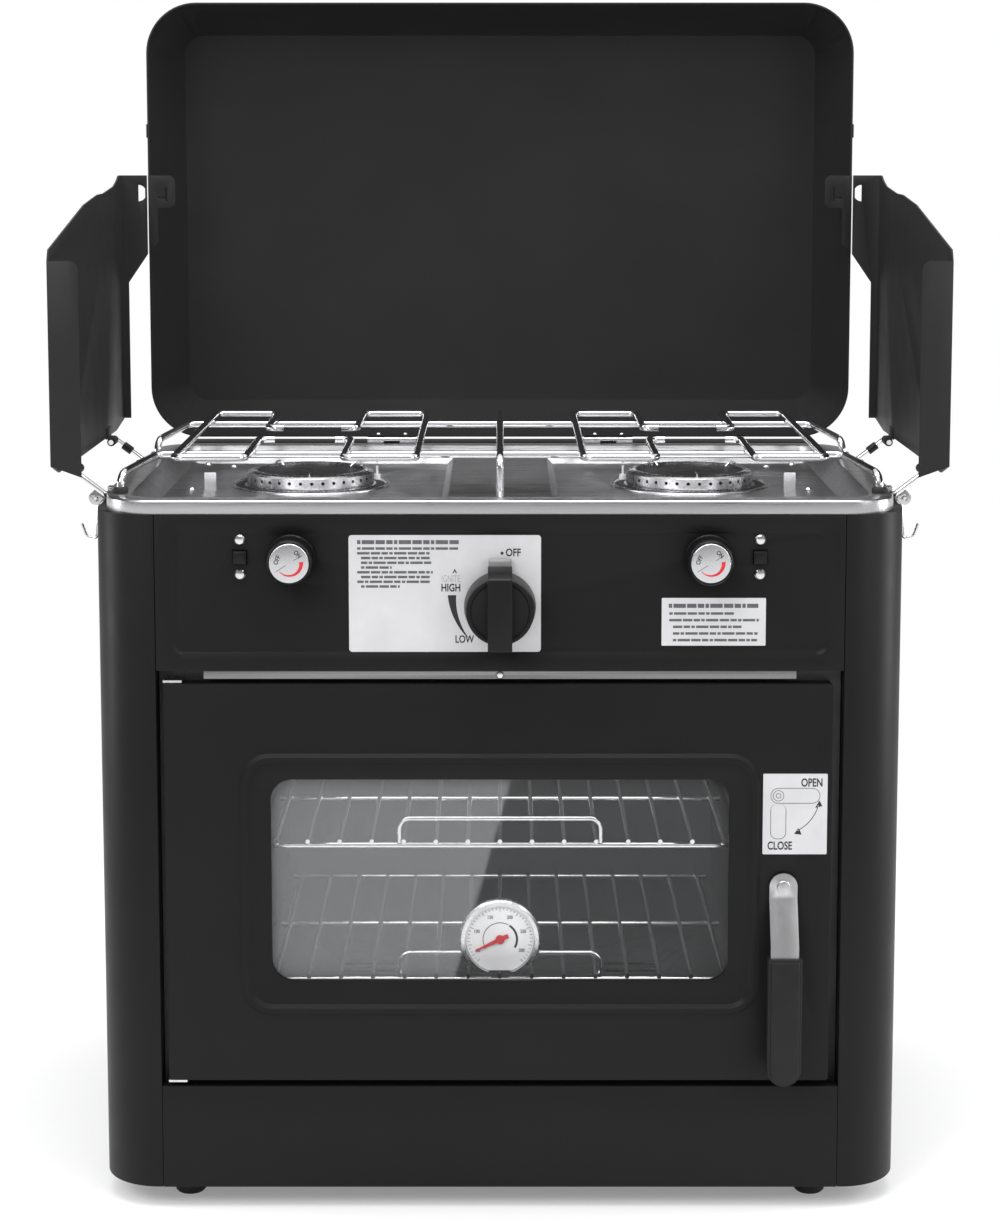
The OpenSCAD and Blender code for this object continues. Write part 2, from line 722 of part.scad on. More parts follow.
module gas_manifold() {
    color(steel) {
        translate([-manifold_half, manifold_y, manifold_z]) rotate([0, 90, 0])
            cylinder(r = manifold_r, h = 2 * manifold_half);
        // Feed pipe, brazed to the back of the manifold
        bent_wire([[feed_x, manifold_y + manifold_r + weld, manifold_z], [feed_x, feed_y, manifold_z],
            [feed_x, feed_y, inlet_z], [inlet_x, feed_y, inlet_z], [inlet_x, body_d - 8, inlet_z]], 4, 9);
        translate([inlet_x, body_d, inlet_z]) rotate([90, 0, 0]) cylinder(r = 8, h = 14);
        translate([inlet_x, body_d + 16, inlet_z]) rotate([90, 0, 0]) cylinder(r = 6.58, h = 17);
    }
}

module valve(x, z) {
    color([0.75, 0.66, 0.42]) translate([x, 0, z]) difference() {
        union() {
            front_view(valve_y + valve_len) cylinder(r = 8, h = valve_len);
            translate([-9, manifold_y - 10, -9]) cube([18, 20, 18]);
            translate([-5, manifold_y - 5, min(0, manifold_z - z)]) cube([10, 10, abs(manifold_z - z)]);
        }
        // Saddle on the manifold, and the bore for the spindle
        translate([-20, manifold_y, manifold_z - z]) rotate([0, 90, 0])
            cylinder(r = manifold_r + run, h = 40);
        front_view(valve_y + 16) cylinder(r = spindle_r + run, h = 20);
    }
}

module gas_valves() {
    for (s = [-1, 1]) valve(s * knob_x, knob_z);
    valve(0, oven_knob_z);
}

module piezo_igniters() {
    // Sleeves behind the buttons, held on the back of the fascia
    body = button_side + 6.7;
    well = button_side + 2 * slide;
    color(rubber) for (s = [-1, 1]) translate([s * button_x, 0, button_z]) difference() {
        translate([-body / 2, fascia_back + 0.05, -body / 2]) cube([body, 30, body]);
        translate([-well / 2, 0, -well / 2]) cube([well, fascia_back + 2 * button_travel + 3.5, well]);
    }
}

module igniter_button(side) {
    behind = button_travel + 1;
    color(rubber) translate([side * button_x, 0, button_z]) front_view(fascia_face + behind) {
        linear_extrude(behind + 2.4) square(button_side, center = true);
        linear_extrude(behind + 3) square(button_side - 2, center = true);
        translate([0, 0, -button_travel]) cylinder(r = button_side * 0.3, h = button_travel);
    }
}

module small_knob(side) {
    r = knob_dia / 2;
    ridges = 30;
    color(rubber) translate([side * knob_x, 0, 0]) front_view(fascia_face - knob_gap)
        translate([0, knob_z, 0]) difference() {
            rotate_extrude() polygon([[0, 0], [r, 0], [r, 2], [r - 0.8, 3], [r - 1.6, knob_h - 1.5],
                [r - 2.6, knob_h], [12.7, knob_h], [12.7, knob_h - 1], [0, knob_h - 1]]);
            for (i = [0:ridges - 1]) rotate([0, 0, 360 / ridges * i])
                translate([r + 0.1, 0, 3.2]) cylinder(r = 1, h = knob_h);
            translate([0, 0, -1]) cylinder(r = spindle_r, h = knob_h - 4);
        }
}

module knob_disc(side) {
    color(steel) translate([side * knob_x, 0, 0]) front_view(fascia_face - knob_gap)
        translate([0, knob_z, knob_h - 1]) rotate_extrude()
            polygon([[0, 0], [12.5, 0], [12.5, 1], [12, 1.4], [0, 1.4]]);
}

module oven_knob() {
    r = oven_knob_dia / 2;
    skirt = oven_knob_h * 0.5;
    color(rubber) front_view(fascia_face - knob_gap) translate([0, oven_knob_z, 0]) difference() {
        union() {
            rotate_extrude() polygon([[0, 0], [r, 0], [r, 2.5], [r - 1, skirt - 3], [r - 2.2, skirt - 1],
                [r - 4, skirt], [0, skirt]]);
            // Grip bar across the knob, with a crowned top
            intersection() {
                translate([-oven_grip_w / 2, -r, 0]) cube([oven_grip_w, 2 * r, oven_knob_h]);
                rotate_extrude() polygon([[0, 0], [r - 0.5, 0], [r - 1.5, oven_knob_h - 4],
                    [r - 4, oven_knob_h - 1], [r - 9, oven_knob_h], [0, oven_knob_h]]);
            }
        }
        translate([0, 0, -1]) cylinder(r = spindle_r, h = oven_knob_h - 8);
    }
}

// Valve spindle that ends at that height in its knob
module spindle(x, z, in_knob) {
    start = valve_y + 14;
    color(steel) translate([x, 0, z]) front_view(start)
        cylinder(r = spindle_r, h = start - fascia_face + knob_gap + in_knob);
}

module hinge_leaf_holes() {
    for (x = [-rivet_pitch / 2, rivet_pitch / 2], s = [-1, 1])
        translate([s * lid_hinge_x + x, rivet_y, lid_bottom - 3]) children();
}

module lid_shell() {
    top = lid_len / 2;
    panel_half = lid_half - lid_draft;
    panel_top = top - lid_draft;
    panel_r = lid_r - lid_draft;
    wall = sheet * 1.1;
    color(paint) difference() {
        lid_view() translate([0, top, 0]) union() {
            ring_sweep(lid_half, top, lid_r) polygon([[0, 0], [0, rim_band], [-lid_draft, lid_depth],
                [-lid_draft - 2, lid_depth], [-lid_draft - 2, lid_depth - sheet],
                [-lid_draft - sheet, lid_depth - sheet], [-wall, rim_band], [-wall, 0]]);
            translate([0, 0, lid_depth - sheet]) linear_extrude(sheet)
                rounded_rect(-panel_half, panel_half, -panel_top, panel_top, panel_r);
        }
        hinge_leaf_holes() cylinder(r = 1.45, h = 6);
        // Room for the two hinges' knuckles
        for (s = [-1, 1]) translate([s * lid_hinge_x, lid_axis_y, lid_axis_z]) rotate([0, 90, 0])
            cylinder(r = lid_knuckle_r + 0.09, h = lid_hinge_len + 2, center = true);
    }
}

module lid_knuckle(x, length) {
    translate([x, lid_axis_y, lid_axis_z]) rotate([0, 90, 0])
        cylinder(r = lid_knuckle_r, h = length, center = true);
}

module lid_hinge_upper() {
    leaf_t = 1.1;
    middle = lid_hinge_len / 3 - 0.4;
    color(steel) {
        for (s = [-1, 1]) difference() {
            union() {
                lid_knuckle(s * lid_hinge_x, middle);
                translate([s * lid_hinge_x - middle / 2, lid_axis_y, lid_bottom - leaf_t - 0.02])
                    cube([middle, 5, leaf_t]);
                translate([s * lid_hinge_x - lid_hinge_len / 2, lid_axis_y + 2.3, lid_bottom - leaf_t - 0.02])
                    cube([lid_hinge_len, 3.2, leaf_t]);
            }
            translate([s * lid_hinge_x, lid_axis_y, lid_axis_z]) rotate([0, 90, 0])
                cylinder(r = lid_pin_r + run, h = 60, center = true);
        }
        hinge_leaf_holes() {
            translate([0, 0, 3 + sheet * 1.1 + 0.02]) pan_head(2.25, 1.4);
            translate([0, 0, 3 - leaf_t]) cylinder(r = 1.4, h = leaf_t + sheet * 1.1 + 0.03);
        }
    }
}

module lid_hinge_lower() {
    outer = lid_hinge_len / 3;
    color(steel) for (s = [-1, 1]) {
        difference() {
            union() {
                for (e = [-1, 1]) {
                    lid_knuckle(s * lid_hinge_x + e * outer, outer);
                    translate([s * lid_hinge_x + e * outer - outer / 2, lid_axis_y - 1.9, deck_z])
                        cube([outer, 3, 1]);
                }
                translate([s * lid_hinge_x - 1.5 * outer, lid_axis_y + 2.6, deck_z]) cube([3 * outer, 14, 1]);
                for (e = [-1, 1]) translate([s * lid_hinge_x + e * outer - outer / 2, lid_axis_y, deck_z])
                    cube([outer, 4, 1]);
            }
            translate([s * lid_hinge_x, lid_axis_y, lid_axis_z]) rotate([0, 90, 0])
                cylinder(r = lid_pin_r, h = 60, center = true);
        }
        translate([s * lid_hinge_x, lid_axis_y, lid_axis_z]) rotate([0, 90, 0])
            cylinder(r = lid_pin_r, h = lid_hinge_len, center = true);
    }
}

module lid_catches() {
    edge = screen_reach - 0.6;
    color(paint) both_sides() {
        // Catch plate on the rim, beside the windscreen's hook flange
        translate([0, lid_plane - 1.2, 0]) rotate([90, 0, 0]) mirror([0, 0, 1]) linear_extrude(1.15)
            difference() {
                polygon([[edge, screen_top - 0.2], [edge - 17, screen_top - 0.2],
                    [edge - 20, screen_top - 3.2], [edge - 20, screen_top - 21.3],
                    [edge - 17, screen_top - 24.3], [edge - 7, screen_top - 24.3],
                    [edge - 7, screen_top - 50], [edge, screen_top - 58]]);
                translate([edge - 14, screen_top - 19]) square([1.4, 10]);
                translate([edge - 14, screen_top - 17]) square([7, 1.2]);
            }
        // Keeper on the lid's side for the latch wire
        translate([lid_half + 0.02, lid_plane + 1, lid_bottom + 222]) cube([1, 4, 10]);
    }
}

module screen_wire() {
    // Drawn with the arms along -X, then leaned up round the lower pivot
    arm = norm([arm_out, arm_up]);
    color(chrome) translate([-arm_x, 0, arm_z]) rotate([0, atan(arm_up / arm_out), 0])
        bent_wire([[-arm, arm_front + 22, 0], [-arm, arm_front, 0], [0, arm_front, 0], [0, arm_back, 0],
            [-arm, arm_back, 0], [-arm, arm_back - 22, 0]], arm_r, 3.2);
}

module screen_pivot_clips() {
    length = 8;
    inner = 3.2;
    color(steel) both_sides() for (y = [arm_front + 18, arm_back - 26]) difference() {
        translate([arm_x - inner, y, body_top]) cube([inner + arm_r + 0.3, length, arm_z + 3 - body_top]);
        translate([arm_x, y - 1, arm_z]) rotate([-90, 0, 0]) cylinder(r = arm_r + run, h = length + 2);
    }
}

module windscreen() {
    t = sheet;
    along = screen_back - screen_front;
    lean = (screen_x_front - screen_x_back) / along;
    knuckle_r = arm_r + 1.2;
    bottom = pivot_z + 3;
    color(paint) difference() {
        union() {
            // Main panel, seen from the side as a profile
            intersection() {
                linear_extrude(screen_top + 1) polygon([[-screen_x_front, screen_front],
                    [-screen_x_front + t, screen_front], [-screen_x_back + t, screen_back],
                    [-screen_x_back, screen_back]]);
                translate([-screen_x_front - 5, 0, 0]) rotate([90, 0, 90]) linear_extrude(20)
                    polygon([[screen_front, bottom + 7], [screen_front, screen_top - 48],
                        [screen_front + 4, screen_top - 41], [screen_front + 0.461 * along, screen_top - 17],
                        [screen_front + 0.652 * along, screen_top - 11.6],
                        [screen_front + 0.735 * along, screen_top - 11.4],
                        [screen_front + 0.889 * along, screen_top - 7.5],
                        [screen_front + 0.936 * along, screen_top - 4], [screen_back - 9, screen_top],
                        [screen_back, screen_top], [screen_back, bottom + 5], [screen_back - 40, bottom],
                        [screen_front + 25, bottom]]);
            }
            // Front flange with a rounded top corner and a slanting foot
            front_view(screen_front + t) linear_extrude(t) difference() {
                polygon([[-screen_x_front, bottom + 7], [-screen_x_front, screen_top - 48],
                    [-screen_x_front + screen_flange, screen_top - 48],
                    [-screen_x_front + screen_flange, bottom]]);
                translate([-screen_x_front + screen_flange - 6, screen_top - 54]) difference() {
                    square(7);
                    circle(6);
                }
            }
            // Back flange that widens into the hook plate
            front_view(screen_back) linear_extrude(t) difference() {
                polygon([[-screen_x_back, bottom + 5], [-screen_x_back, screen_top],
                    [-screen_reach, screen_top], [-screen_reach, screen_top - 58],
                    [-screen_x_back + 6, screen_top - 79], [-screen_x_back + 6, bottom + 5]]);
                translate([-screen_reach - 6.4, screen_top - 13]) intersection() {
                    circle(6);
                    translate([0, -6]) square([5, 12]);
                }
            }
            for (y = [arm_front + 4, arm_back - 20]) {
                leaf_z = pivot_z + knuckle_r - 1.2;
                inside = -screen_x_front + t + (y - screen_front) * lean - 0.8;
                translate([-pivot_x, y, pivot_z]) rotate([-90, 0, 0]) cylinder(r = knuckle_r, h = 16);
                translate([-screen_x_back - 0.5, y, leaf_z]) cube([screen_x_back - pivot_x + 0.5, 16, 1.2]);
                translate([inside, y, leaf_z]) cube([2, 16, 8]);
                translate([inside, y, leaf_z]) cube([-pivot_x - inside, 16, 1.2]);
            }
        }
        translate([-pivot_x, 0, pivot_z]) rotate([-90, 0, 0]) cylinder(r = arm_r + run, h = body_d);
    }
}

module latch_wire_brackets() {
    color(steel) both_sides() {
        difference() {
            union() {
                translate([latch_x, latch_y - 5, latch_z]) rotate([-90, 0, 0]) cylinder(r = 4.6, h = 10);
                translate([body_half + 0.05, latch_y - 5, latch_z - 12]) cube([1.4, 10, 12]);
            }
            translate([latch_x, latch_y - 6, latch_z]) rotate([-90, 0, 0])
                cylinder(r = latch_wire_r + run, h = 12);
        }
    }
}

module latch_wire(side) {
    y = latch_y + 8;
    x = latch_x;
    color(chrome) mirror([side > 0 ? 0 : 1, 0, 0])
        swept_wire([[x, latch_y - 7, latch_z], [x, y, latch_z], [x + 1.4, y, latch_z - 29],
            [x + 8.5, y, latch_z - 27.5], [x + 11.5, y, latch_z - 19]], latch_wire_r, 2.6);
}

module door_hinge_brackets() {
    width = 12;
    pin_r = hinge_pin_dia / 2;
    color(steel) for (z = [door_z0 - 0.6 - 1.5, door_z1 + 0.6]) {
        translate([door_axis_x - width / 2 + 0.5, door_axis_y - 4, z])
            cube([width, liner_face - door_axis_y + 4 - 0.02, 1.5]);
        translate([door_axis_x, door_axis_y, z > door_z1 ? z - 9 : z]) cylinder(r = pin_r, h = 10.5);
    }
}

module door_panel() {
    frame_half = window_half + 20;
    frame_z0 = window_z0 - 23;
    frame_z1 = window_z1 + 17;
    color(paint) difference() {
        union() {
            front_view(door_face + sheet) linear_extrude(sheet) difference() {
                rounded_rect(door_x0, door_x1, door_z0, door_z1, 2);
                rounded_rect(-window_half, window_half, window_z0, window_z1, window_r);
            }
            // Folded edges
            front_view(door_back) linear_extrude(door_t - sheet / 2) difference() {
                rounded_rect(door_x0, door_x1, door_z0, door_z1, 2);
                rounded_rect(door_x0 + sheet, door_x1 - sheet, door_z0 + sheet, door_z1 - sheet, 2 - sheet);
            }
            // Raised frame round the window
            translate([0, 0, (frame_z0 + frame_z1) / 2]) front_view(door_face)
                ring_sweep(frame_half, (frame_z1 - frame_z0) / 2, 20)
                    polygon([[0, -0.3], [0, 0], [-2.4, 2.4], [-5.1, 2.4], [-7.5, 0], [-7.5, -0.3]]);
            // Turned-in edge that holds the glass
            front_view(door_face + 4) linear_extrude(4 - sheet / 2) difference() {
                rounded_rect(-window_half - sheet, window_half + sheet, window_z0 - sheet, window_z1 + sheet,
                    window_r + sheet);
                rounded_rect(-window_half, window_half, window_z0, window_z1, window_r);
            }
        }
        for (z = [door_z0 - 1, door_z1 - 3]) translate([door_axis_x, door_axis_y, z])
            cylinder(r = hinge_pin_dia / 2 + run, h = 4);
        translate([lever_x, door_face + 20, lever_z]) rotate([90, 0, 0])
            cylinder(r = lever_shaft_r + run, h = 40);
    }
}

module door_glass() {
    color([0.6, 0.65, 0.68]) translate([-window_half - 8, door_face + 4 + 0.05, window_z0 - 8])
        cube([2 * window_half + 16, glass_t, window_z1 - window_z0 + 16]);
}

module door_liner() {
    color([0.3, 0.3, 0.31]) difference() {
        translate([door_x0 + 2, door_back, door_z0 + 2])
            cube([door_x1 - door_x0 - 4, 1, door_z1 - door_z0 - 4]);
        translate([-window_half - 4, 0, window_z0 - 4])
            cube([2 * window_half + 8, 30, window_z1 - window_z0 + 8]);
        translate([lever_x, door_face + 20, lever_z]) rotate([90, 0, 0])
            cylinder(r = lever_shaft_r + run, h = 40);
        translate([door_axis_x, door_axis_y, 0]) cylinder(r = 10, h = door_z1 + 10);
    }
    // Strips that hold the glass above and below the window
    color([0.3, 0.3, 0.31]) for (z = [window_z0 - 7, window_z1 + 4])
        translate([-window_half, door_face + 4 + glass_t + 0.1, z])
            cube([2 * window_half, door_t - 4 - glass_t - 0.1, 3]);
}

// The lever is drawn hanging from its pivot, along local -Y, with local Z towards the viewer
module lever_view() {
    translate([lever_x, door_face, lever_z]) rotate([90, 0, 0]) children();
}

module door_lever() {
    t = 1.6;
    step_start = 9;
    step_end = 36;
    color(steel) lever_view() difference() {
        union() {
            // Strap that steps away from the door under its pivot
            intersection() {
                rotate([0, 90, 0]) translate([0, 0, -lever_w / 2]) linear_extrude(lever_w) polygon([
                    [-1.0, 10], [-1.0, -step_start], [-grip_off, -step_end], [-grip_off, -lever_len + 20],
                    [-grip_off - t, -lever_len + 20], [-grip_off - t, -step_end + 1],
                    [-1.0 - t, -step_start + 1], [-1.0 - t, 10]]);
                union() {
                    cylinder(r = lever_w / 2, h = 40);
                    translate([-lever_w / 2, -lever_len, 0]) cube([lever_w, lever_len, 40]);
                }
            }
            cylinder(r = 4, h = 5);
            translate([0, 0, -door_t - 2.5]) cylinder(r = lever_shaft_r, h = door_t + 3.6);
        }
    }
    color(chrome) lever_view() translate([0, 0, 2.65]) pan_head(4.4, 2.6);
}

module lever_grip() {
    top = -lever_len + grip_len;
    half = grip_w / 2;
    color(rubber) lever_view() difference() {
        union() {
            translate([0, 0, grip_off - 3]) linear_extrude(8) {
                translate([-half, -lever_len + half]) square([grip_w, grip_len - half]);
                translate([0, -lever_len + half]) circle(half);
            }
            translate([0, 0, grip_off - 4.5]) linear_extrude(11) {
                translate([-half + 2, -lever_len + half]) square([grip_w - 4, grip_len - half - 2]);
                translate([0, -lever_len + half]) circle(half - 2);
            }
        }
        translate([-lever_w / 2, -lever_len + 20, grip_off]) cube([lever_w, grip_len, 1.6]);
    }
}

module lever_cam() {
    // Latch tongue behind the door, turned by the lever's shaft
    color(steel) lever_view() translate([0, 0, -door_t - 2.1]) difference() {
        linear_extrude(1) {
            circle(9);
            translate([0, -5]) square([22, 10]);
        }
        translate([0, 0, -1]) cylinder(r = lever_shaft_r, h = 4);
    }
}

module rack(z) {
    wire_r = rack_wire / 2;
    bar_r = rack_bar / 2;
    wire_z = z + bar_r + wire_r + weld;
    leg_z = z + bar_r + weld;
    color(chrome) {
        for (y = [rack_front, (rack_front + rack_back) / 2, rack_back - 4])
            rod([-rack_half, y, z], [rack_half, y, z], bar_r);
        for (i = [0:rack_wires - 1]) {
            x = (i - (rack_wires - 1) / 2) * rack_pitch;
            rod([x, rack_front - 4, wire_z], [x, rack_back, wire_z], wire_r);
        }
        bent_wire([[-handle_half, rack_front, leg_z], [-handle_half, rack_front, z + handle_h],
            [handle_half, rack_front, z + handle_h], [handle_half, rack_front, leg_z]], wire_r, 7);
    }
}

module thermometer_case() {
    // Pressed cup with a flat foot, hung on the lower rack's handle by a hook
    color(steel) {
        difference() {
            intersection() {
                translate([0, dial_y, dial_z]) rotate([90, 0, 0]) rotate_extrude() polygon([[0, -4],
                    [dial_r - 1.5, -4], [dial_r, -2.5], [dial_r, 2.2], [dial_r - 1.4, 3.4], [dial_r - 4, 3.4],
                    [dial_r - 4.4, 0.6], [0, 0.6]]);
                translate([-dial_r, dial_y - 10, dial_z - dial_r * 0.8]) cube([2 * dial_r, 20, 2 * dial_r]);
            }
        }
        translate([-6, dial_y + 3.9, hook_z - 6]) cube([12, 1, 12]);
        translate([-6, dial_y + 4, hook_z]) cube([12, rack_front - dial_y, 1]);
        translate([-6, rack_front + rack_wire / 2 + 1, hook_z - 5]) cube([12, 1, 6]);
    }
}

module thermometer_dial() {
    color("white") translate([0, dial_y, dial_z]) rotate([90, 0, 0]) translate([0, 0, 0.62])
        linear_extrude(0.5) intersection() {
            circle(dial_r - 4.6);
            translate([-dial_r, -dial_r * 0.78]) square([2 * dial_r, 2 * dial_r]);
        }
}

module thermometer_needle() {
    color([0.8, 0.1, 0.12]) translate([0, dial_y - 1.4, dial_z]) rotate([90, 0, 0]) {
        cylinder(r = 3, h = 1.2);
        rotate([0, 0, 205]) translate([0, 0, 0.2]) linear_extrude(0.6)
            polygon([[-6, -1.4], [2, -1.4], [dial_r - 9, -0.4], [dial_r - 9, 0.4], [2, 1.4], [-6, 1.4]]);
    }
}

module placed() {
    translate([0, -y_mid, 0]) children();
}

placed() side_panels();
placed() back_panel();
placed() base_and_kick_panel();
placed() fascia();
placed() divider_strip();
placed() front_screws();
placed() oven_liner();
placed() oven_floor_plate();
placed() oven_burner();
placed() feet();
placed() hob_tray();
placed() tray_fittings();
placed() at_burner(-1) burner_base();  // left_burner_base
placed() at_burner(-1) burner_ring();  // left_burner_ring
placed() at_burner(-1) burner_cap();  // left_burner_cap
placed() at_burner(1) burner_base();  // right_burner_base
placed() at_burner(1) burner_ring();  // right_burner_ring
placed() at_burner(1) burner_cap();  // right_burner_cap
placed() igniter_electrodes();
placed() grate_frame();
placed() grate_loops();
placed() grate_grommets();
placed() gas_manifold();
placed() gas_valves();
placed() piezo_igniters();
placed() lid_hinge_lower();
placed() door_hinge_brackets();
placed() latch_wire_brackets();
placed() screen_pivot_clips();
placed() door_panel();
placed() door_liner();
placed() door_glass();
placed() door_lever();
placed() lever_grip();
placed() lever_cam();
placed() lid_shell();
placed() lid_hinge_upper();
placed() lid_catches();
placed() screen_wire();  // left_screen_wire
placed() mirror([1, 0, 0]) screen_wire();  // right_screen_wire
placed() windscreen();  // left_windscreen
placed() mirror([1, 0, 0]) windscreen();  // right_windscreen
placed() oven_knob();
placed() small_knob(-1);  // left_knob
placed() small_knob(1);  // right_knob
placed() knob_disc(-1);  // left_knob_disc
placed() knob_disc(1);  // right_knob_disc
placed() spindle(0, oven_knob_z, oven_knob_h - 9.5);  // oven_spindle
placed() spindle(-knob_x, knob_z, knob_h - 5.5);  // left_spindle
placed() spindle(knob_x, knob_z, knob_h - 5.5);  // right_spindle
placed() igniter_button(-1);  // left_igniter_button
placed() igniter_button(1);  // right_igniter_button
placed() latch_wire(-1);  // left_latch_wire
placed() latch_wire(1);  // right_latch_wire
placed() rack(upper_rack_z);  // upper_rack
placed() rack(lower_rack_z);  // lower_rack
placed() thermometer_case();
placed() thermometer_dial();
placed() thermometer_needle();
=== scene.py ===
"""Looks of a camp oven with a two-burner hob: finishes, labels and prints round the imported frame."""

import json
import math

import bpy
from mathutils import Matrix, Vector

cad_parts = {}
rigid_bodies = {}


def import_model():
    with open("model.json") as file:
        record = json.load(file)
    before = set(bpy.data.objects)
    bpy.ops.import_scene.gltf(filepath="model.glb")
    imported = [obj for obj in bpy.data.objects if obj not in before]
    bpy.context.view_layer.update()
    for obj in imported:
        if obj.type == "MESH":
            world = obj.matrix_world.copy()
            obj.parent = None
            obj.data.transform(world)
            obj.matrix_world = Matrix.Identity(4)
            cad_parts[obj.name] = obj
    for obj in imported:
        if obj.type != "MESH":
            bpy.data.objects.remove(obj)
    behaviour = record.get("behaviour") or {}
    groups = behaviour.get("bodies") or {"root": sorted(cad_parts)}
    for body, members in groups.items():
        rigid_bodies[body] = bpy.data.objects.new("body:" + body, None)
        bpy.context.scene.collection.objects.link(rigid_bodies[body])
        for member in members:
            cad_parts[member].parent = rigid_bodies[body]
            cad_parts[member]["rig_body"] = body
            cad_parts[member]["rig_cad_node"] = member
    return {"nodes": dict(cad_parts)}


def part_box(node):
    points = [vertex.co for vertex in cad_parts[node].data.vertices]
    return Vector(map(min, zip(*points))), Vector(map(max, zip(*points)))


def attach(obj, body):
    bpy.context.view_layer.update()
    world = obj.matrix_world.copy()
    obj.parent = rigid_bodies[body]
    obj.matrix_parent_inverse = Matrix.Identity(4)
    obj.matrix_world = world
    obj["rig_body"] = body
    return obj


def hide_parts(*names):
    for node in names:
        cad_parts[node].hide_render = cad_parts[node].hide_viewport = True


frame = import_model()
bpy.ops.object.select_all(action="DESELECT")
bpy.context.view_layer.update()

# Sizes are in millimetres unless a name says otherwise, and depths are measured from the front plane
MM = 0.001
SCREW_HEAD_T = 2.2
DOOR_PANEL_DEPTH = 8.1
FRONT_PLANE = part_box("base_and_kick_panel")[0].y / MM
FASCIA_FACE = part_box("front_screws")[0].y / MM - FRONT_PLANE + SCREW_HEAD_T
DOOR_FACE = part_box("door_liner")[0].y / MM - FRONT_PLANE - DOOR_PANEL_DEPTH
PRINT_T = 0.05
LABEL_T = 0.2

# Height of a capital letter as a share of the font's size
CAPITAL_SHARE = 0.7

# The camera stands where the photograph was taken from
CAMERA_DISTANCE = 1640.5
CAMERA_HEIGHT = 700.7
CAMERA_TILT_DEGREES = 6.822
LENS_MM = 77.18
SENSOR_MM = 36.0
SHIFT_DOWN = 0.14


def place(x, depth, z):
    """A point of the object in metres, from its distance to the middle, its depth and its height."""
    return Vector((x, depth + FRONT_PLANE, z)) * MM


# Materials

class Finish:
    """A procedural material in the making: one Principled shader and the nodes that feed it."""

    def __init__(self, name, colour, metallic=0.0, roughness=0.5, **sockets):
        self.material = bpy.data.materials.new(name)
        self.material.use_nodes = True
        self.tree = self.material.node_tree
        self.shader = self.tree.nodes["Principled BSDF"]
        self.coordinates = self.tree.nodes.new("ShaderNodeTexCoord")
        self.set("Base Color", (*colour, 1.0))
        self.set("Metallic", metallic)
        self.set("Roughness", roughness)
        for key, value in sockets.items():
            self.set(key.replace("_", " "), value)

    def set(self, socket, value):
        self.shader.inputs[socket].default_value = value

    def link(self, output, node_input):
        self.tree.links.new(output, node_input)

    def mapped(self, scale=(1.0, 1.0, 1.0), turn=(0.0, 0.0, 0.0), centre=(0.0, 0.0, 0.0)):
        """Object coordinates, centred, turned and stretched."""
        node = self.tree.nodes.new("ShaderNodeMapping")
        node.vector_type = "TEXTURE"
        node.inputs["Location"].default_value = centre
        node.inputs["Rotation"].default_value = turn
        node.inputs["Scale"].default_value = scale
        self.link(self.coordinates.outputs["Object"], node.inputs["Vector"])
        return node.outputs["Vector"]

    def noise(self, grain_mm, detail=3.0, stretch=(1.0, 1.0, 1.0)):
        """Noise whose grain is about that many millimetres, longer along the stretched axes."""
        node = self.tree.nodes.new("ShaderNodeTexNoise")
        node.inputs["Scale"].default_value = 1.0 / (grain_mm * MM)
        node.inputs["Detail"].default_value = detail
        self.link(self.mapped(stretch), node.inputs["Vector"])
        return node.outputs["Fac"]

    def ramp(self, value, low, high, start=0.3, end=0.7):
        """Turns a value between start and end into one between low and high."""
        node = self.tree.nodes.new("ShaderNodeMapRange")
        node.inputs["From Min"].default_value = start
        node.inputs["From Max"].default_value = end
        node.inputs["To Min"].default_value = low
        node.inputs["To Max"].default_value = high
        self.link(value, node.inputs["Value"])
        return node.outputs["Result"]

    def tint(self, value, dark, light):
        """Base colour between two tones."""
        node = self.tree.nodes.new("ShaderNodeMix")
        node.data_type = "RGBA"
        node.inputs["A"].default_value = (*dark, 1.0)
        node.inputs["B"].default_value = (*light, 1.0)
        self.link(value, node.inputs["Factor"])
        self.link(node.outputs["Result"], self.shader.inputs["Base Color"])

    def rough(self, value, low, high):
        self.link(self.ramp(value, low, high), self.shader.inputs["Roughness"])

    def bump(self, value, depth_mm, strength=1.0):
        node = self.tree.nodes.new("ShaderNodeBump")
        node.inputs["Strength"].default_value = strength
        node.inputs["Distance"].default_value = depth_mm * MM
        self.link(value, node.inputs["Height"])
        self.link(node.outputs["Normal"], self.shader.inputs["Normal"])


def grey(value):
    return (value, value, value * 1.02)


def powder_coat(name, tone=0.009):
    """Satin black powder coat: a fine leathery grain, hardly clouded."""
    finish = Finish(name, grey(tone), roughness=0.42, Specular_IOR_Level=0.13)
    finish.tint(finish.ramp(finish.noise(70.0), 0.0, 1.0), grey(tone * 0.95), grey(tone * 1.06))
    finish.rough(finish.noise(22.0, detail=4.0), 0.40, 0.46)
    finish.bump(finish.noise(0.55, detail=2.0), 0.02, 0.35)
    return finish.material


def brushed(name, tone=0.6, along=(40.0, 1.0, 1.0), roughness=(0.24, 0.4), depth_mm=0.012):
    """Brushed stainless sheet, with its lines along one axis and a few broad bands."""
    finish = Finish(name, grey(tone), metallic=1.0)
    lines = finish.noise(0.8, detail=3.0, stretch=along)
    finish.tint(finish.ramp(finish.noise(9.0, detail=2.0, stretch=along), 0.0, 1.0),
        grey(tone * 0.86), grey(tone * 1.08))
    finish.rough(lines, *roughness)
    finish.bump(lines, depth_mm, 0.5)
    return finish.material


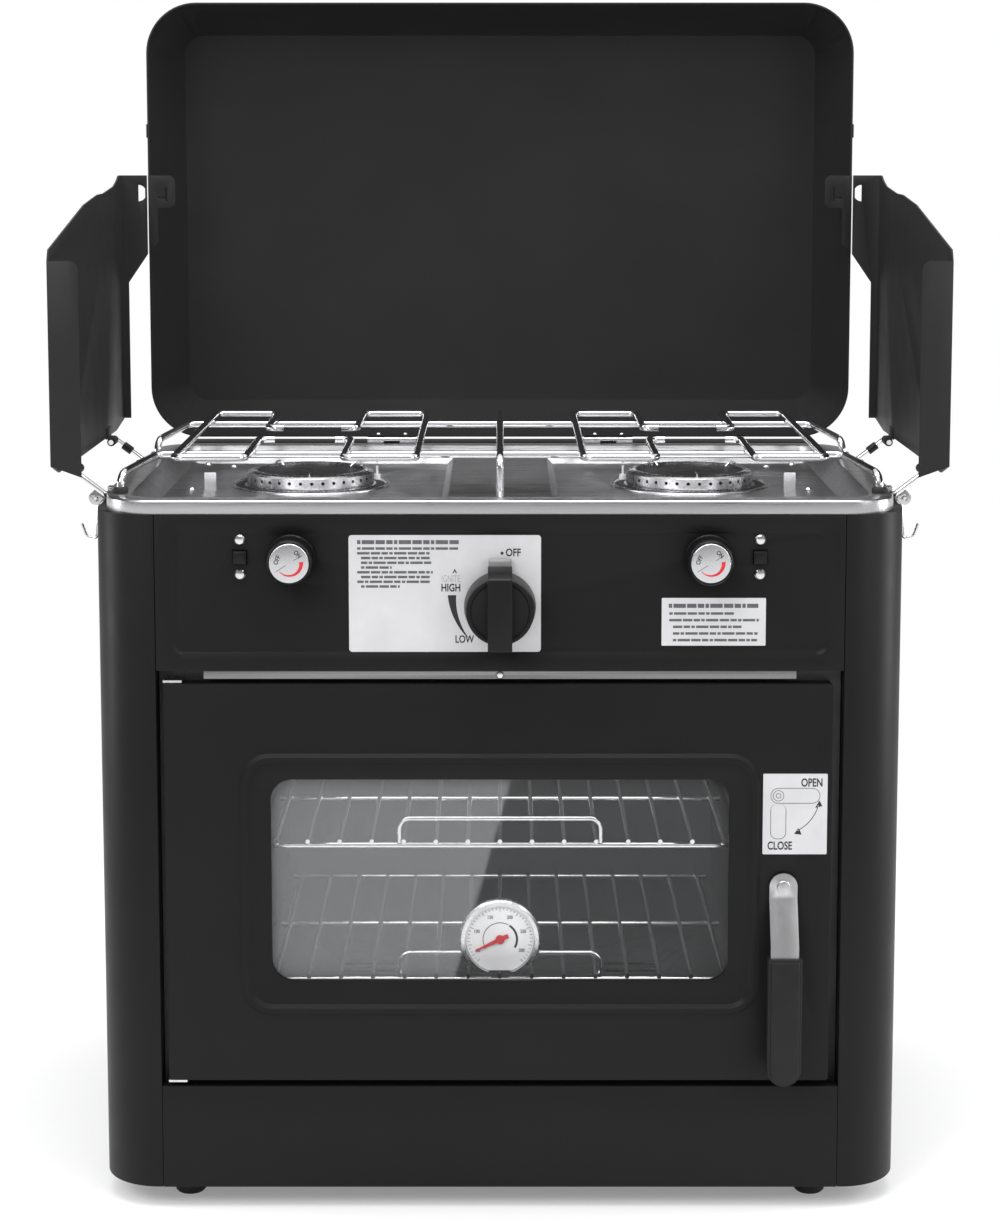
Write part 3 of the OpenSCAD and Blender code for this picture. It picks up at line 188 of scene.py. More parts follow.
def spun(name, centre, tone=0.72):
    """Disc brushed in circles round its centre."""
    finish = Finish(name, grey(tone), metallic=1.0, Anisotropic=0.6)
    waves = finish.tree.nodes.new("ShaderNodeTexWave")
    waves.wave_type = "RINGS"
    waves.rings_direction = "Y"
    waves.inputs["Scale"].default_value = 900.0
    waves.inputs["Distortion"].default_value = 1.5
    finish.link(finish.mapped(centre=centre), waves.inputs["Vector"])
    finish.rough(waves.outputs["Fac"], 0.25, 0.38)
    finish.bump(waves.outputs["Fac"], 0.01, 0.4)
    return finish.material


def plated(name, tone=0.8, roughness=(0.07, 0.16)):
    """Bright plated wire, hardly rippled by its drawing."""
    finish = Finish(name, grey(tone), metallic=1.0)
    ripple = finish.noise(6.0, detail=2.0)
    finish.tint(finish.ramp(finish.noise(14.0), 0.0, 1.0), grey(tone * 0.93), grey(tone * 1.03))
    finish.rough(ripple, *roughness)
    finish.bump(ripple, 0.015, 0.25)
    return finish.material


def moulded(name, tone=0.012, roughness=(0.3, 0.4), grain_mm=0.7, depth_mm=0.02):
    """Moulded plastic or rubber with a fine spark-eroded grain."""
    finish = Finish(name, grey(tone), roughness=roughness[0], Specular_IOR_Level=0.25)
    finish.tint(finish.ramp(finish.noise(18.0), 0.0, 1.0), grey(tone * 0.8), grey(tone * 1.25))
    finish.rough(finish.noise(5.0), *roughness)
    finish.bump(finish.noise(grain_mm, detail=2.0), depth_mm, 0.4)
    return finish.material


def lining(name, tone=0.3):
    """Grey oven lining: galvanised sheet with a faint spangle and rolling marks."""
    finish = Finish(name, grey(tone), metallic=0.35)
    cells = finish.tree.nodes.new("ShaderNodeTexVoronoi")
    cells.inputs["Scale"].default_value = 110.0
    finish.link(finish.mapped(), cells.inputs["Vector"])
    spangle = finish.ramp(cells.outputs["Distance"], 0.0, 1.0, 0.0, 0.9)
    finish.tint(spangle, grey(tone * 0.92), grey(tone * 1.06))
    finish.rough(finish.noise(1.2, stretch=(1.0, 1.0, 30.0)), 0.36, 0.52)
    finish.bump(finish.noise(3.0), 0.02, 0.3)
    return finish.material


def paper(name, tone=0.78):
    """Printed label foil: nearly even, with a slight mottle."""
    finish = Finish(name, grey(tone), roughness=0.42)
    finish.tint(finish.ramp(finish.noise(16.0), 0.0, 1.0), grey(tone * 0.95), grey(tone * 1.03))
    finish.rough(finish.noise(2.0), 0.38, 0.5)
    finish.bump(finish.noise(0.9), 0.01, 0.2)
    return finish.material


def ink(name, colour):
    finish = Finish(name, colour, roughness=0.5)
    dark, light = [c * 0.85 for c in colour], [c * 1.15 for c in colour]
    finish.tint(finish.ramp(finish.noise(1.5), 0.0, 1.0), dark, light)
    finish.rough(finish.noise(0.8), 0.42, 0.58)
    return finish.material


def window_glass(name):
    """Clear pane with a painted reflection: a faint whitish layer that is denser on one side of a slanting
    line.
    """
    slant_run, slant_rise = 57.0, 205.0
    slant_middle = place(-11.0, 0.0, 219.5)
    # Painted reflection: the pane is whiter on one side of a slanting line, standing in for a bright surround
    # mirrored in the glass
    painted_reflection_left, painted_reflection_right = 0.085, 0.02
    half_fade = 1.5 * MM
    finish = Finish(name, (0.86, 0.88, 0.9), roughness=0.03, IOR=1.5)
    slope = finish.tree.nodes.new("ShaderNodeSeparateXYZ")
    lean = math.atan2(slant_run, slant_rise)
    finish.link(finish.mapped(turn=(0.0, lean, 0.0), centre=slant_middle), slope.inputs["Vector"])
    painted_reflection = finish.ramp(slope.outputs["X"], painted_reflection_left, painted_reflection_right, start=-half_fade, end=half_fade)
    finish.link(painted_reflection, finish.shader.inputs["Alpha"])
    finish.rough(finish.noise(40.0), 0.02, 0.05)
    finish.material.surface_render_method = "BLENDED"
    return finish.material


BLACK_PAINT = powder_coat("satin_black_powder_coat")
# The same satin black coat, painted lighter for the lid, its catches and the windscreens: painted light, for
# the brighter light that falls on them
COAT_PAINTED_LIGHTER = powder_coat("satin_black_coat_painted_lighter", tone=0.021)
STAINLESS_ALONG = brushed("stainless_brushed_across", tone=0.5)
STAINLESS_UP = brushed("stainless_brushed_upwards", tone=0.55, along=(1.0, 1.0, 40.0), roughness=(0.3, 0.38),
    depth_mm=0.003)
STRIP_STEEL = brushed("dull_strip_steel", tone=0.29, roughness=(0.34, 0.46))
STAMPED = brushed("stamped_bright_steel", tone=0.66, along=(3.0, 1.0, 3.0), roughness=(0.18, 0.3))
CHROME = plated("plated_wire")
BRIGHT_SCREW = plated("bright_screw_heads", tone=0.86, roughness=(0.12, 0.22))
BLACK_PLASTIC = moulded("black_moulded_plastic", tone=0.005)
GRIP = moulded("soft_black_grip", tone=0.009, roughness=(0.48, 0.6), grain_mm=0.9)
RUBBER = moulded("foot_rubber", tone=0.02, roughness=(0.6, 0.75), grain_mm=1.2)
BURNER_BLACK = moulded("blackened_burner_cap", tone=0.016, roughness=(0.45, 0.62), grain_mm=0.9,
    depth_mm=0.05)
OVEN_GREY = lining("oven_lining", tone=0.1)
DARK_LINING = lining("door_inner_panel", tone=0.09)
BRASS = Finish("turned_brass", (0.55, 0.4, 0.16), metallic=1.0, roughness=0.3).material
CERAMIC = moulded("white_ceramic", tone=0.72, roughness=(0.15, 0.3))
LABEL = paper("label_foil", tone=0.54)
DIAL_WHITE = paper("dial_face", tone=0.82)
BLACK_INK = ink("black_print", (0.012, 0.012, 0.013))
GREY_INK = ink("grey_print", (0.09, 0.09, 0.093))
PALE_INK = ink("pale_print", (0.3, 0.3, 0.31))
RED_INK = ink("red_print", (0.56, 0.012, 0.022))
GLASS = window_glass("clear_oven_glass")
KNOB_TIP = moulded("grey_knob_tip", tone=0.22, roughness=(0.35, 0.45))


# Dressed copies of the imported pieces

def only(obj):
    bpy.ops.object.select_all(action="DESELECT")
    obj.select_set(True)
    bpy.context.view_layer.objects.active = obj
    return obj


def finish_piece(piece, body, material):
    """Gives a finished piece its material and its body."""
    piece.data.materials.clear()
    piece.data.materials.append(material)
    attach(piece, body)
    piece.select_set(False)
    return piece


def dress(node, material, edge_mm=0.0, smooth=35.0):
    """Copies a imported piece, merges its triangles, eases its edges and lets the copy stand for it."""
    source = frame["nodes"][node]
    only(source)
    bpy.ops.object.duplicate()
    piece = bpy.context.view_layer.objects.active
    piece.name = f"{node}_finished"
    piece.data.name = piece.name
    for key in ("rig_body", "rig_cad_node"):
        if key in piece:
            del piece[key]
    bpy.ops.mesh.customdata_custom_splitnormals_clear()
    bpy.ops.object.mode_set(mode="EDIT")
    bpy.ops.mesh.select_all(action="SELECT")
    bpy.ops.mesh.remove_doubles(threshold=0.002 * MM)
    bpy.ops.mesh.dissolve_limited(angle_limit=math.radians(0.4), delimit={"NORMAL"})
    bpy.ops.object.mode_set(mode="OBJECT")
    if edge_mm:
        bevel = piece.modifiers.new("eased_edges", "BEVEL")
        bevel.width = edge_mm * MM
        bevel.segments = 2
        bevel.limit_method = "ANGLE"
        bevel.angle_limit = math.radians(38.0)
        bevel.use_clamp_overlap = True
        bpy.ops.object.modifier_apply(modifier=bevel.name)
    bpy.ops.object.shade_smooth_by_angle(angle=math.radians(smooth))
    finish_piece(piece, source["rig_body"], material)
    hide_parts(node)


def dress_group(names, material, edge_mm=0.0, smooth=35.0):
    for name in names.split():
        dress(name, material, edge_mm, smooth)


dress_group("side_panels base_and_kick_panel back_panel", BLACK_PAINT, edge_mm=0.3)
dress_group("fascia door_panel", BLACK_PAINT, edge_mm=0.25)
dress_group("lid_shell lid_catches", COAT_PAINTED_LIGHTER, edge_mm=0.25)
dress_group("left_windscreen right_windscreen", COAT_PAINTED_LIGHTER, edge_mm=0.3)
dress_group("hob_tray", STAINLESS_ALONG, edge_mm=0.2)
dress_group("divider_strip", STRIP_STEEL, edge_mm=0.2)
dress_group("lid_hinge_lower lid_hinge_upper door_hinge_brackets", STAMPED)
dress_group("latch_wire_brackets screen_pivot_clips", STAMPED, edge_mm=0.2)
dress_group("left_burner_base right_burner_base lever_cam thermometer_case", STAMPED)
dress_group("gas_manifold oven_burner", STAMPED)
dress_group("door_lever", STAINLESS_UP, edge_mm=0.25)
dress_group("front_screws tray_fittings", BRIGHT_SCREW)
dress_group("grate_frame grate_loops", CHROME, smooth=50.0)
dress_group("left_screen_wire right_screen_wire", CHROME, smooth=50.0)
dress_group("left_latch_wire right_latch_wire upper_rack lower_rack", CHROME, smooth=50.0)
dress_group("left_burner_ring right_burner_ring", STAMPED)
dress_group("left_burner_cap right_burner_cap", BURNER_BLACK, edge_mm=0.3)
dress_group("oven_liner oven_floor_plate", OVEN_GREY, edge_mm=0.2)
dress_group("door_liner", DARK_LINING)
dress_group("left_knob right_knob", BLACK_PLASTIC, edge_mm=0.15)
dress_group("left_igniter_button right_igniter_button piezo_igniters", BLACK_PLASTIC,
    edge_mm=0.3)
dress_group("lever_grip", GRIP, edge_mm=1.2)
dress_group("grate_grommets feet", RUBBER, edge_mm=0.3)
dress_group("gas_valves", BRASS, edge_mm=0.3)
dress_group("igniter_electrodes", CERAMIC)
dress_group("thermometer_dial", DIAL_WHITE)
dress_group("thermometer_needle", RED_INK)
dress_group("door_glass", GLASS, edge_mm=0.3)
dress_group("oven_spindle left_spindle right_spindle", STAMPED)

for side in ("left", "right"):
    low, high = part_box(f"{side}_knob_disc")
    disc_finish = spun(f"{side}_disc_spun", (low + high) / 2)
    dress(f"{side}_knob_disc", disc_finish, edge_mm=0.15)


# Labels and prints

def circle(x, z, radius, steps=48, start=0.0, end=360.0):
    """Points of an arc as seen from the front, with angles from the right, anticlockwise."""
    turn = [math.radians(start + (end - start) * i / steps) for i in range(steps + (end - start < 360.0))]
    return [(x + radius * math.cos(a), z + radius * math.sin(a)) for a in turn]


def rounded(x0, x1, z0, z1, radius):
    corners = ((x1 - radius, z1 - radius, 0), (x0 + radius, z1 - radius, 90),
        (x0 + radius, z0 + radius, 180), (x1 - radius, z0 + radius, 270))
    return [p for x, z, a in corners for p in circle(x, z, radius, 6, a, a + 90.0)]


def bar(x0, x1, z, height):
    return [(x0, z), (x1, z), (x1, z + height), (x0, z + height)]


def stroke(x0, z0, x1, z1, width):
    """A straight line of that width between two points."""
    length = math.hypot(x1 - x0, z1 - z0)
    nx, nz = -(z1 - z0) / length * width / 2, (x1 - x0) / length * width / 2
    return [(x0 - nx, z0 - nz), (x1 - nx, z1 - nz), (x1 + nx, z1 + nz), (x0 + nx, z0 + nz)]


def arc_band(x, z, radius, start, end, width_start, width_end, steps=28):
    """A band along an arc whose width changes evenly."""
    outer, inner = [], []
    for i in range(steps + 1):
        a = math.radians(start + (end - start) * i / steps)
        half = (width_start + (width_end - width_start) * i / steps) / 2
        outer.append((x + (radius + half) * math.cos(a), z + (radius + half) * math.sin(a)))
        inner.append((x + (radius - half) * math.cos(a), z + (radius - half) * math.sin(a)))
    return outer + inner[::-1]


def flat_shape(name, outlines, depth, thickness):
    """A thin plate as seen from the front: outlines inside others are holes. Its face lies at the depth."""
    curve = bpy.data.curves.new(name, "CURVE")
    curve.dimensions = "2D"
    curve.fill_mode = "BOTH"
    curve.extrude = thickness / 2 * MM
    for outline in outlines:
        spline = curve.splines.new("POLY")
        spline.points.add(len(outline) - 1)
        for point, (x, z) in zip(spline.points, outline):
            point.co = (x * MM, z * MM, 0.0, 1.0)
        spline.use_cyclic_u = True
    shape = bpy.data.objects.new(name, curve)
    bpy.context.collection.objects.link(shape)
    return settled(shape, depth, thickness)


def settled(shape, depth, thickness):
    """Makes a flat curve or a word a mesh, stands it up and bakes its place into the mesh."""
    only(shape)
    bpy.ops.object.convert(target="MESH")
    shape = bpy.context.view_layer.objects.active
    shape.rotation_euler.x = math.radians(90.0)
    shape.location += place(0.0, depth + thickness / 2, 0.0)
    bpy.ops.object.transform_apply(location=True, rotation=True, scale=True)
    bpy.ops.object.mode_set(mode="EDIT")
    bpy.ops.mesh.select_all(action="SELECT")
    bpy.ops.mesh.remove_doubles(threshold=0.001 * MM)
    bpy.ops.mesh.normals_make_consistent(inside=False)
    bpy.ops.object.mode_set(mode="OBJECT")
    shape.select_set(False)
    return shape


def word(text, x, z, height, depth, angle=0.0, squeeze=0.8, bold=0.035):
    """A printed word, centred on a point of the front view, with capitals of that height."""
    bpy.ops.object.text_add(location=(0.0, 0.0, 0.0))
    shape = bpy.context.view_layer.objects.active
    shape.data.body = text
    shape.data.align_x = "CENTER"
    shape.data.align_y = "CENTER"
    shape.data.size = height / CAPITAL_SHARE * MM
    shape.data.extrude = PRINT_T / 2 * MM
    shape.data.offset = height * bold * MM
    shape.data.resolution_u = 4
    shape.scale.x = squeeze
    shape.rotation_euler.y = math.radians(-angle)
    shape.location = Vector((x * MM, 0.0, z * MM))
    return settled(shape, depth, PRINT_T)


def joined(name, shapes, body, material):
    """Joins prints that lie on one label into one piece."""
    bpy.ops.object.select_all(action="DESELECT")
    for shape in shapes:
        shape.select_set(True)
    bpy.context.view_layer.objects.active = shapes[0]
    if len(shapes) > 1:
        bpy.ops.object.join()
    piece = bpy.context.view_layer.objects.active
    piece.name = name
    piece.data.name = name
    return finish_piece(piece, body, material)


def text_lines(x0, top, pitch, widths, height, indent=0.0):
    """Broken grey bars that stand for lines of small print."""
    bars = []
    for row, width in enumerate(widths):
        x, end = x0 + (indent if row in (2, 3, 4, 6, 8) else 0.0), x0 + width
        step = 0
        while x < end - 1.0:
            length = min(2.2 + 1.9 * ((step * 7 + row * 3) % 4), end - x)
            bars.append(bar(x, x + length, top - pitch * row, height))
            x += length + 0.8
            step += 1
    return bars


def label_plate(name, outlines, face, body):
    """Pale plate that carries the print of a label."""
    finish_piece(flat_shape(name, outlines, face, LABEL_T), body, LABEL)


def oven_label():
    """White plate behind the oven knob, with OFF, HIGH and LOW and a wedge that narrows to LOW."""
    face = FASCIA_FACE - LABEL_T
    ink_face = face - PRINT_T
    knob_z = (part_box("oven_spindle")[0].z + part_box("oven_spindle")[1].z) / 2 / MM
    spindle_hole_r = 5.5
    spindle_hole = circle(0.0, knob_z, spindle_hole_r)
    label_plate("oven_label", [rounded(-96.0, 26.0, 368.6, 443.8, 2.0), spindle_hole], face, "cabinet")
    shapes = [word("OFF", 8.4, 432.4, 4.8, ink_face),
        word("HIGH", -31.2, 409.8, 4.8, ink_face, squeeze=0.75),
        word("LOW", -22.6, 376.6, 4.7, ink_face, squeeze=0.76)]
    wedge = arc_band(14.0, 406.0, 44.5, 181.0, 219.0, 5.4, 0.5)
    arrow = [(-30.2, 419.4), (-28.7, 422.2), (-27.2, 419.4), (-28.0, 419.4), (-28.7, 420.8), (-29.4, 419.4)]
    dot = circle(1.3, 432.2, 1.0, 16)
    shapes.append(flat_shape("oven_print_shapes", [wedge, arrow, dot], ink_face, PRINT_T))
    joined("oven_label_print", shapes, "cabinet", BLACK_INK)
    joined("oven_label_ignite", [word("IGNITE", -31.2, 415.6, 4.4, ink_face, squeeze=0.62, bold=-0.006)],
        "cabinet", PALE_INK)
    rows = text_lines(-90.6, 434.4, 3.05, (64, 47, 46, 47, 22, 48, 46, 46, 27), 1.6, indent=2.4)
    title = text_lines(-90.6, 438.0, 3.0, (65,), 2.6)
    joined("oven_label_lines", [flat_shape("oven_lines", title + rows, ink_face, PRINT_T)],
        "cabinet", GREY_INK)


def hob_label():
    """Small white plate under the right knob, with lines of small print."""
    face = FASCIA_FACE - LABEL_T
    label_plate("hob_label", [rounded(102.8, 169.0, 372.6, 403.4, 0.6)], face, "cabinet")
    rows = text_lines(107.6, 392.6, 4.3, (42, 57, 46, 57, 56), 1.6, indent=2.4)
    title = text_lines(107.2, 397.0, 3.0, (57,), 2.7)
    joined("hob_label_lines", [flat_shape("hob_lines", title + rows, face - PRINT_T, PRINT_T)],
        "cabinet", GREY_INK)


def latch_label():
    """Plate beside the window that shows the lever's two positions."""
    face = DOOR_FACE - LABEL_T
    ink_face = face - PRINT_T
    label_plate("latch_label", [rounded(168.4, 209.6, 237.0, 289.8, 0.8)], face, "oven_door")
    shapes = [word("OPEN", 199.6, 283.8, 5.2, ink_face, squeeze=0.72),
        word("CLOSE", 179.4, 242.4, 5.2, ink_face, squeeze=0.72)]
    arrow_x, arrow_z, arrow_r = 179.0, 275.4, 25.6
    sweep = arc_band(arrow_x, arrow_z, arrow_r, -63.0, -14.0, 0.5, 0.5)
    heads = [[(206.4, 268.6), (201.8, 267.6), (204.6, 272.4)],
        [(188.6, 250.4), (193.4, 249.9), (191.2, 254.3)]]
    shapes.append(flat_shape("latch_arrow", [sweep] + heads, ink_face, PRINT_T))
    joined("latch_label_print", shapes, "oven_door", BLACK_INK)
    pivot = (178.3, 275.4)
    lying = [rounded(173.2, 205.0, 270.3, 280.5, 5.0), rounded(173.6, 204.6, 270.7, 280.1, 4.6)]
    hanging = [rounded(173.2, 183.4, 246.9, 270.0, 4.2), rounded(173.6, 183.0, 247.3, 270.0, 3.9)]
    rings = [circle(*pivot, 3.6), circle(*pivot, 3.2), circle(*pivot, 1.7), circle(*pivot, 1.3)]
    joined("latch_label_outline", [flat_shape("latch_outline", lying + hanging + rings, ink_face, PRINT_T)],
        "oven_door", GREY_INK)


def knob_print(side):
    """OFF, ON, a tapering red arc and a fine line on the disc of a hob knob."""
    low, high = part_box(f"{side}_knob_disc")
    x, z = (low.x + high.x) / 2 / MM, (low.z + high.z) / 2 / MM
    face = low.y / MM - FRONT_PLANE - PRINT_T
    body = f"{side}_control"
    shapes = [word("OFF", x - 7.3, z + 2.2, 2.8, face, angle=66.0, squeeze=0.85),
        word("ON", x + 5.4, z + 5.8, 2.8, face, angle=-45.0)]
    shapes.append(flat_shape("knob_line", [stroke(x + 3.0, z + 1.9, x + 7.2, z + 4.6, 0.3),
        stroke(x - 8.2, z - 5.2, x - 2.0, z - 1.2, 0.3)], face, PRINT_T))
    joined(f"{side}_knob_print", shapes, body, BLACK_INK)
    arc = arc_band(x, z, 7.8, 8.0, -140.0, 2.6, 0.4)
    joined(f"{side}_knob_arc", [flat_shape("arc", [arc], face, PRINT_T)], body, RED_INK)


def dial_print():
    """Scale of the oven thermometer: ticks, numbers and two dark bands."""
    dial_centre_below_top = 27.0
    x, z = 0.0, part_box("thermometer_case")[1].z / MM - dial_centre_below_top
    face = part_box("thermometer_dial")[0].y / MM - FRONT_PLANE - PRINT_T
    marks = []
    ticks, first, sweep, outer = 40, 225.0, 270.0, 21.4
    for i in range(ticks + 1):
        angle = math.radians(first - sweep * i / ticks)
        length = 2.6 if i % 5 == 0 else 1.4
        marks.append(stroke(x + outer * math.cos(angle), z + outer * math.sin(angle),
            x + (outer - length) * math.cos(angle), z + (outer - length) * math.sin(angle), 0.32))
    marks.append(arc_band(x, z, 11.2, 215.0, 60.0, 0.5, 0.5))
    marks.append(arc_band(x, z, 11.2, 56.0, -30.0, 1.5, 1.5))
    shapes = [flat_shape("dial_marks", marks, face, PRINT_T)]
    number_r = 16.2
    for i, text in enumerate(("50", "100", "150", "200", "250", "300")):
        angle = math.radians(208.0 - 236.0 * i / 5)
        at = (x + number_r * math.cos(angle), z + number_r * math.sin(angle))
        shapes.append(word(text, *at, 2.3, face))
    joined("thermometer_scale", shapes, "lower_shelf", BLACK_INK)


# Pieces that are shaped here

def in_front_view(piece, eased_mm=0.0, segments=3, smooth=35.0):
    """Bakes the piece's place into its mesh and eases its edges."""
    only(piece)
    bpy.ops.object.transform_apply(location=True, rotation=True, scale=True)
    if eased_mm:
        bevel = piece.modifiers.new("eased_edges", "BEVEL")
        bevel.width = eased_mm * MM
        bevel.segments = segments
        bevel.limit_method = "ANGLE"
        bevel.angle_limit = math.radians(30.0)
        bpy.ops.object.modifier_apply(modifier=bevel.name)
    bpy.ops.object.shade_smooth_by_angle(angle=math.radians(smooth))
    return piece


def side_profile(name, outline, x0, x1, eased_mm):
    """A bar across the front view whose side outline is given as depths and heights."""
    curve = bpy.data.curves.new(name, "CURVE")
    curve.dimensions = "2D"
    curve.fill_mode = "BOTH"
    curve.extrude = (x1 - x0) / 2 * MM
    spline = curve.splines.new("POLY")
    spline.points.add(len(outline) - 1)
    for point, (depth, z) in zip(spline.points, outline):
        point.co = (depth * MM, z * MM, 0.0, 1.0)
    spline.use_cyclic_u = True
    bar_piece = bpy.data.objects.new(name, curve)
    bpy.context.collection.objects.link(bar_piece)
    only(bar_piece)
    bpy.ops.object.convert(target="MESH")
    bar_piece = bpy.context.view_layer.objects.active
    bar_piece.rotation_euler = (math.radians(90.0), 0.0, math.radians(90.0))
    bar_piece.location = place((x0 + x1) / 2, 0.0, 0.0)
    bpy.ops.object.mode_set(mode="EDIT")
    bpy.ops.mesh.select_all(action="SELECT")
    bpy.ops.mesh.remove_doubles(threshold=0.001 * MM)
    bpy.ops.mesh.normals_make_consistent(inside=False)
    bpy.ops.object.mode_set(mode="OBJECT")
    return in_front_view(bar_piece, eased_mm)


def oven_knob():
    """Round knob with a bar grip that reaches past its rim, and a pale pointer behind the bar."""
    body_r, body_depth, taper, bar_half, tip_half = 22.9, 20.0, 0.93, 7.7, 7.3
    low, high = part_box("oven_knob")
    x, z = (low.x + high.x) / 2 / MM, (low.z + high.z) / 2 / MM
    front, back = low.y / MM - FRONT_PLANE, high.y / MM - FRONT_PLANE
    bpy.ops.mesh.primitive_cylinder_add(vertices=72, radius=body_r * MM, depth=body_depth * MM,
        location=place(x, back - body_depth / 2, z), rotation=(math.radians(90.0), 0.0, 0.0))
    knob = bpy.context.view_layer.objects.active
    knob.name = "oven_knob_body"
    only(knob)
    bpy.ops.object.transform_apply(location=True, rotation=True, scale=True)
    bpy.ops.object.mode_set(mode="EDIT")
    bpy.ops.mesh.select_all(action="DESELECT")
    bpy.ops.object.mode_set(mode="OBJECT")
    for face in knob.data.polygons:
        face.select = face.normal.y < -0.9
    bpy.ops.object.mode_set(mode="EDIT")
    bpy.ops.transform.resize(value=(taper, 1.0, taper), center_override=place(x, 0.0, z))
    bpy.ops.mesh.inset(thickness=2.4 * MM, depth=0.0)
    bpy.ops.mesh.inset(thickness=0.8 * MM, depth=-0.8 * MM)
    bpy.ops.object.mode_set(mode="OBJECT")
    in_front_view(knob, 1.0)
    finish_piece(knob, "oven_control", BLACK_PLASTIC)
    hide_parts("oven_knob")
    grip = side_profile("oven_knob_grip", [(back - 0.2, z - 22.4), (front + 1.6, z - 25.0), (front, z - 23.6),
        (front, z + 21.6), (front + 1.4, z + 22.8), (back - 12.0, z + 27.4), (back - 9.6, z + 27.6),
        (back - 8.4, z + 23.4), (back - 0.2, z + 22.6)], x - bar_half, x + bar_half, 0.5)
    finish_piece(grip, "oven_control", BLACK_PLASTIC)
    pointer = side_profile("oven_knob_pointer", [(back - 0.4, z + 22.0), (back - 4.2, z + 22.0),
        (back - 4.2, z + 29.6), (back - 3.2, z + 31.0), (back - 0.4, z + 31.0)],
        x - tip_half, x + tip_half, 0.6)
    finish_piece(pointer, "oven_control", KNOB_TIP)


def bent(name, points, radius, body, material):
    """A round wire through points given as distance, depth and height."""
    curve = bpy.data.curves.new(name, "CURVE")
    curve.dimensions = "3D"
    curve.bevel_depth = radius * MM
    curve.bevel_resolution = 4
    curve.resolution_u = 6
    curve.use_fill_caps = True
    spline = curve.splines.new("NURBS")
    spline.points.add(len(points) - 1)
    for point, at in zip(spline.points, points):
        point.co = (*place(*at), 1.0)
    spline.use_endpoint_u = True
    spline.order_u = 3
    wire = bpy.data.objects.new(name, curve)
    bpy.context.collection.objects.link(wire)
    only(wire)
    bpy.ops.object.convert(target="MESH")
    wire = bpy.context.view_layer.objects.active
    bpy.ops.object.shade_smooth()
    return finish_piece(wire, body, material)


def lying_ring(name, centre, radius, half, squash, sides, material):
    """A ring that lies on the tray, with its round section squashed flat."""
    bpy.ops.mesh.primitive_torus_add(location=centre, major_segments=96, minor_segments=sides,
        major_radius=radius * MM, minor_radius=half * MM)
    ring = bpy.context.view_layer.objects.active
    ring.name = name
    ring.scale.z = squash
    in_front_view(ring)
    finish_piece(ring, "cabinet", material)


def burner_details(side):
    """Pressed bead, a flat dark ring of painted shade under the burner ring, cap clips, and the electrode's
    curled tip.
    """
    low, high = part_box(f"{side}_burner_ring")
    x, depth = (low.x + high.x) / 2 / MM, (low.y + high.y) / 2 / MM - FRONT_PLANE
    well_below_ring = 1.45
    top = high.z / MM
    inward = 1.0 if side == "left" else -1.0
    well_floor = place(x, depth, low.z / MM - well_below_ring)
    lying_ring(f"{side}_well_bead", well_floor, 53.4, 1.7, 0.75, 12, STAMPED)
    # Flat dark ring on the well floor: painted shade, for the shadow in the gap under the burner ring
    lying_ring(f"{side}_well_painted_shade", well_floor, 48.9, 3.0, 0.12, 8, BURNER_BLACK)
    for number, (dx, dy) in enumerate(((-24.0, 29.0), (31.0, 21.0), (2.0, -37.0))):
        bent(f"{side}_cap_clip_{number}", [(x + dx * 0.86, depth + dy * 0.86, top - 1.0),
            (x + dx * 0.92, depth + dy * 0.92, top + 1.8), (x + dx * 1.04, depth + dy * 1.04, top + 2.0),
            (x + dx * 1.12, depth + dy * 1.12, top + 0.2)], 0.75, "cabinet", BRIGHT_SCREW)
    tip_x, tip_y = x + inward * 45.0, depth + 24.0
    bent(f"{side}_electrode_tip", [(tip_x, tip_y, top + 1.0), (tip_x, tip_y, top + 5.6),
        (tip_x - inward * 3.0, tip_y - 1.0, top + 6.6), (tip_x - inward * 6.5, tip_y - 2.6, top + 5.0),
        (tip_x - inward * 7.6, tip_y - 3.0, top + 2.4)], 0.9, "cabinet", BRIGHT_SCREW)


def arm_sleeve(side):
    """Dark sleeve on the back arm of a windscreen's wire, close to the windscreen."""
    low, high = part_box(f"{side}_screen_wire")
    out = -1.0 if side == "left" else 1.0
    inner = (high.x if side == "left" else low.x) / MM
    outer = (low.x if side == "left" else high.x) / MM
    wire_r, sleeve_r, sleeve_from, sleeve_to = 1.8, 2.9, 0.42, 0.72
    back = high.y / MM - FRONT_PLANE - wire_r
    start = Vector((inner + out * wire_r, back, low.z / MM + wire_r))
    end = Vector((outer - out * wire_r, back, high.z / MM - wire_r))
    first, last = start.lerp(end, sleeve_from), start.lerp(end, sleeve_to)
    bpy.ops.mesh.primitive_cylinder_add(vertices=32, radius=sleeve_r * MM, depth=(last - first).length * MM,
        location=place(*((first + last) / 2)))
    sleeve = bpy.context.view_layer.objects.active
    sleeve.name = f"{side}_arm_sleeve"
    sleeve.rotation_euler = (last - first).to_track_quat("Z", "Y").to_euler()
    in_front_view(sleeve, 0.5)
    finish_piece(sleeve, f"{side}_wire", BLACK_PLASTIC)


oven_knob()
for side in ("left", "right"):
    burner_details(side)
    arm_sleeve(side)
oven_label()
hob_label()
latch_label()
knob_print("left")
knob_print("right")
dial_print()


# Floor, lamps and camera

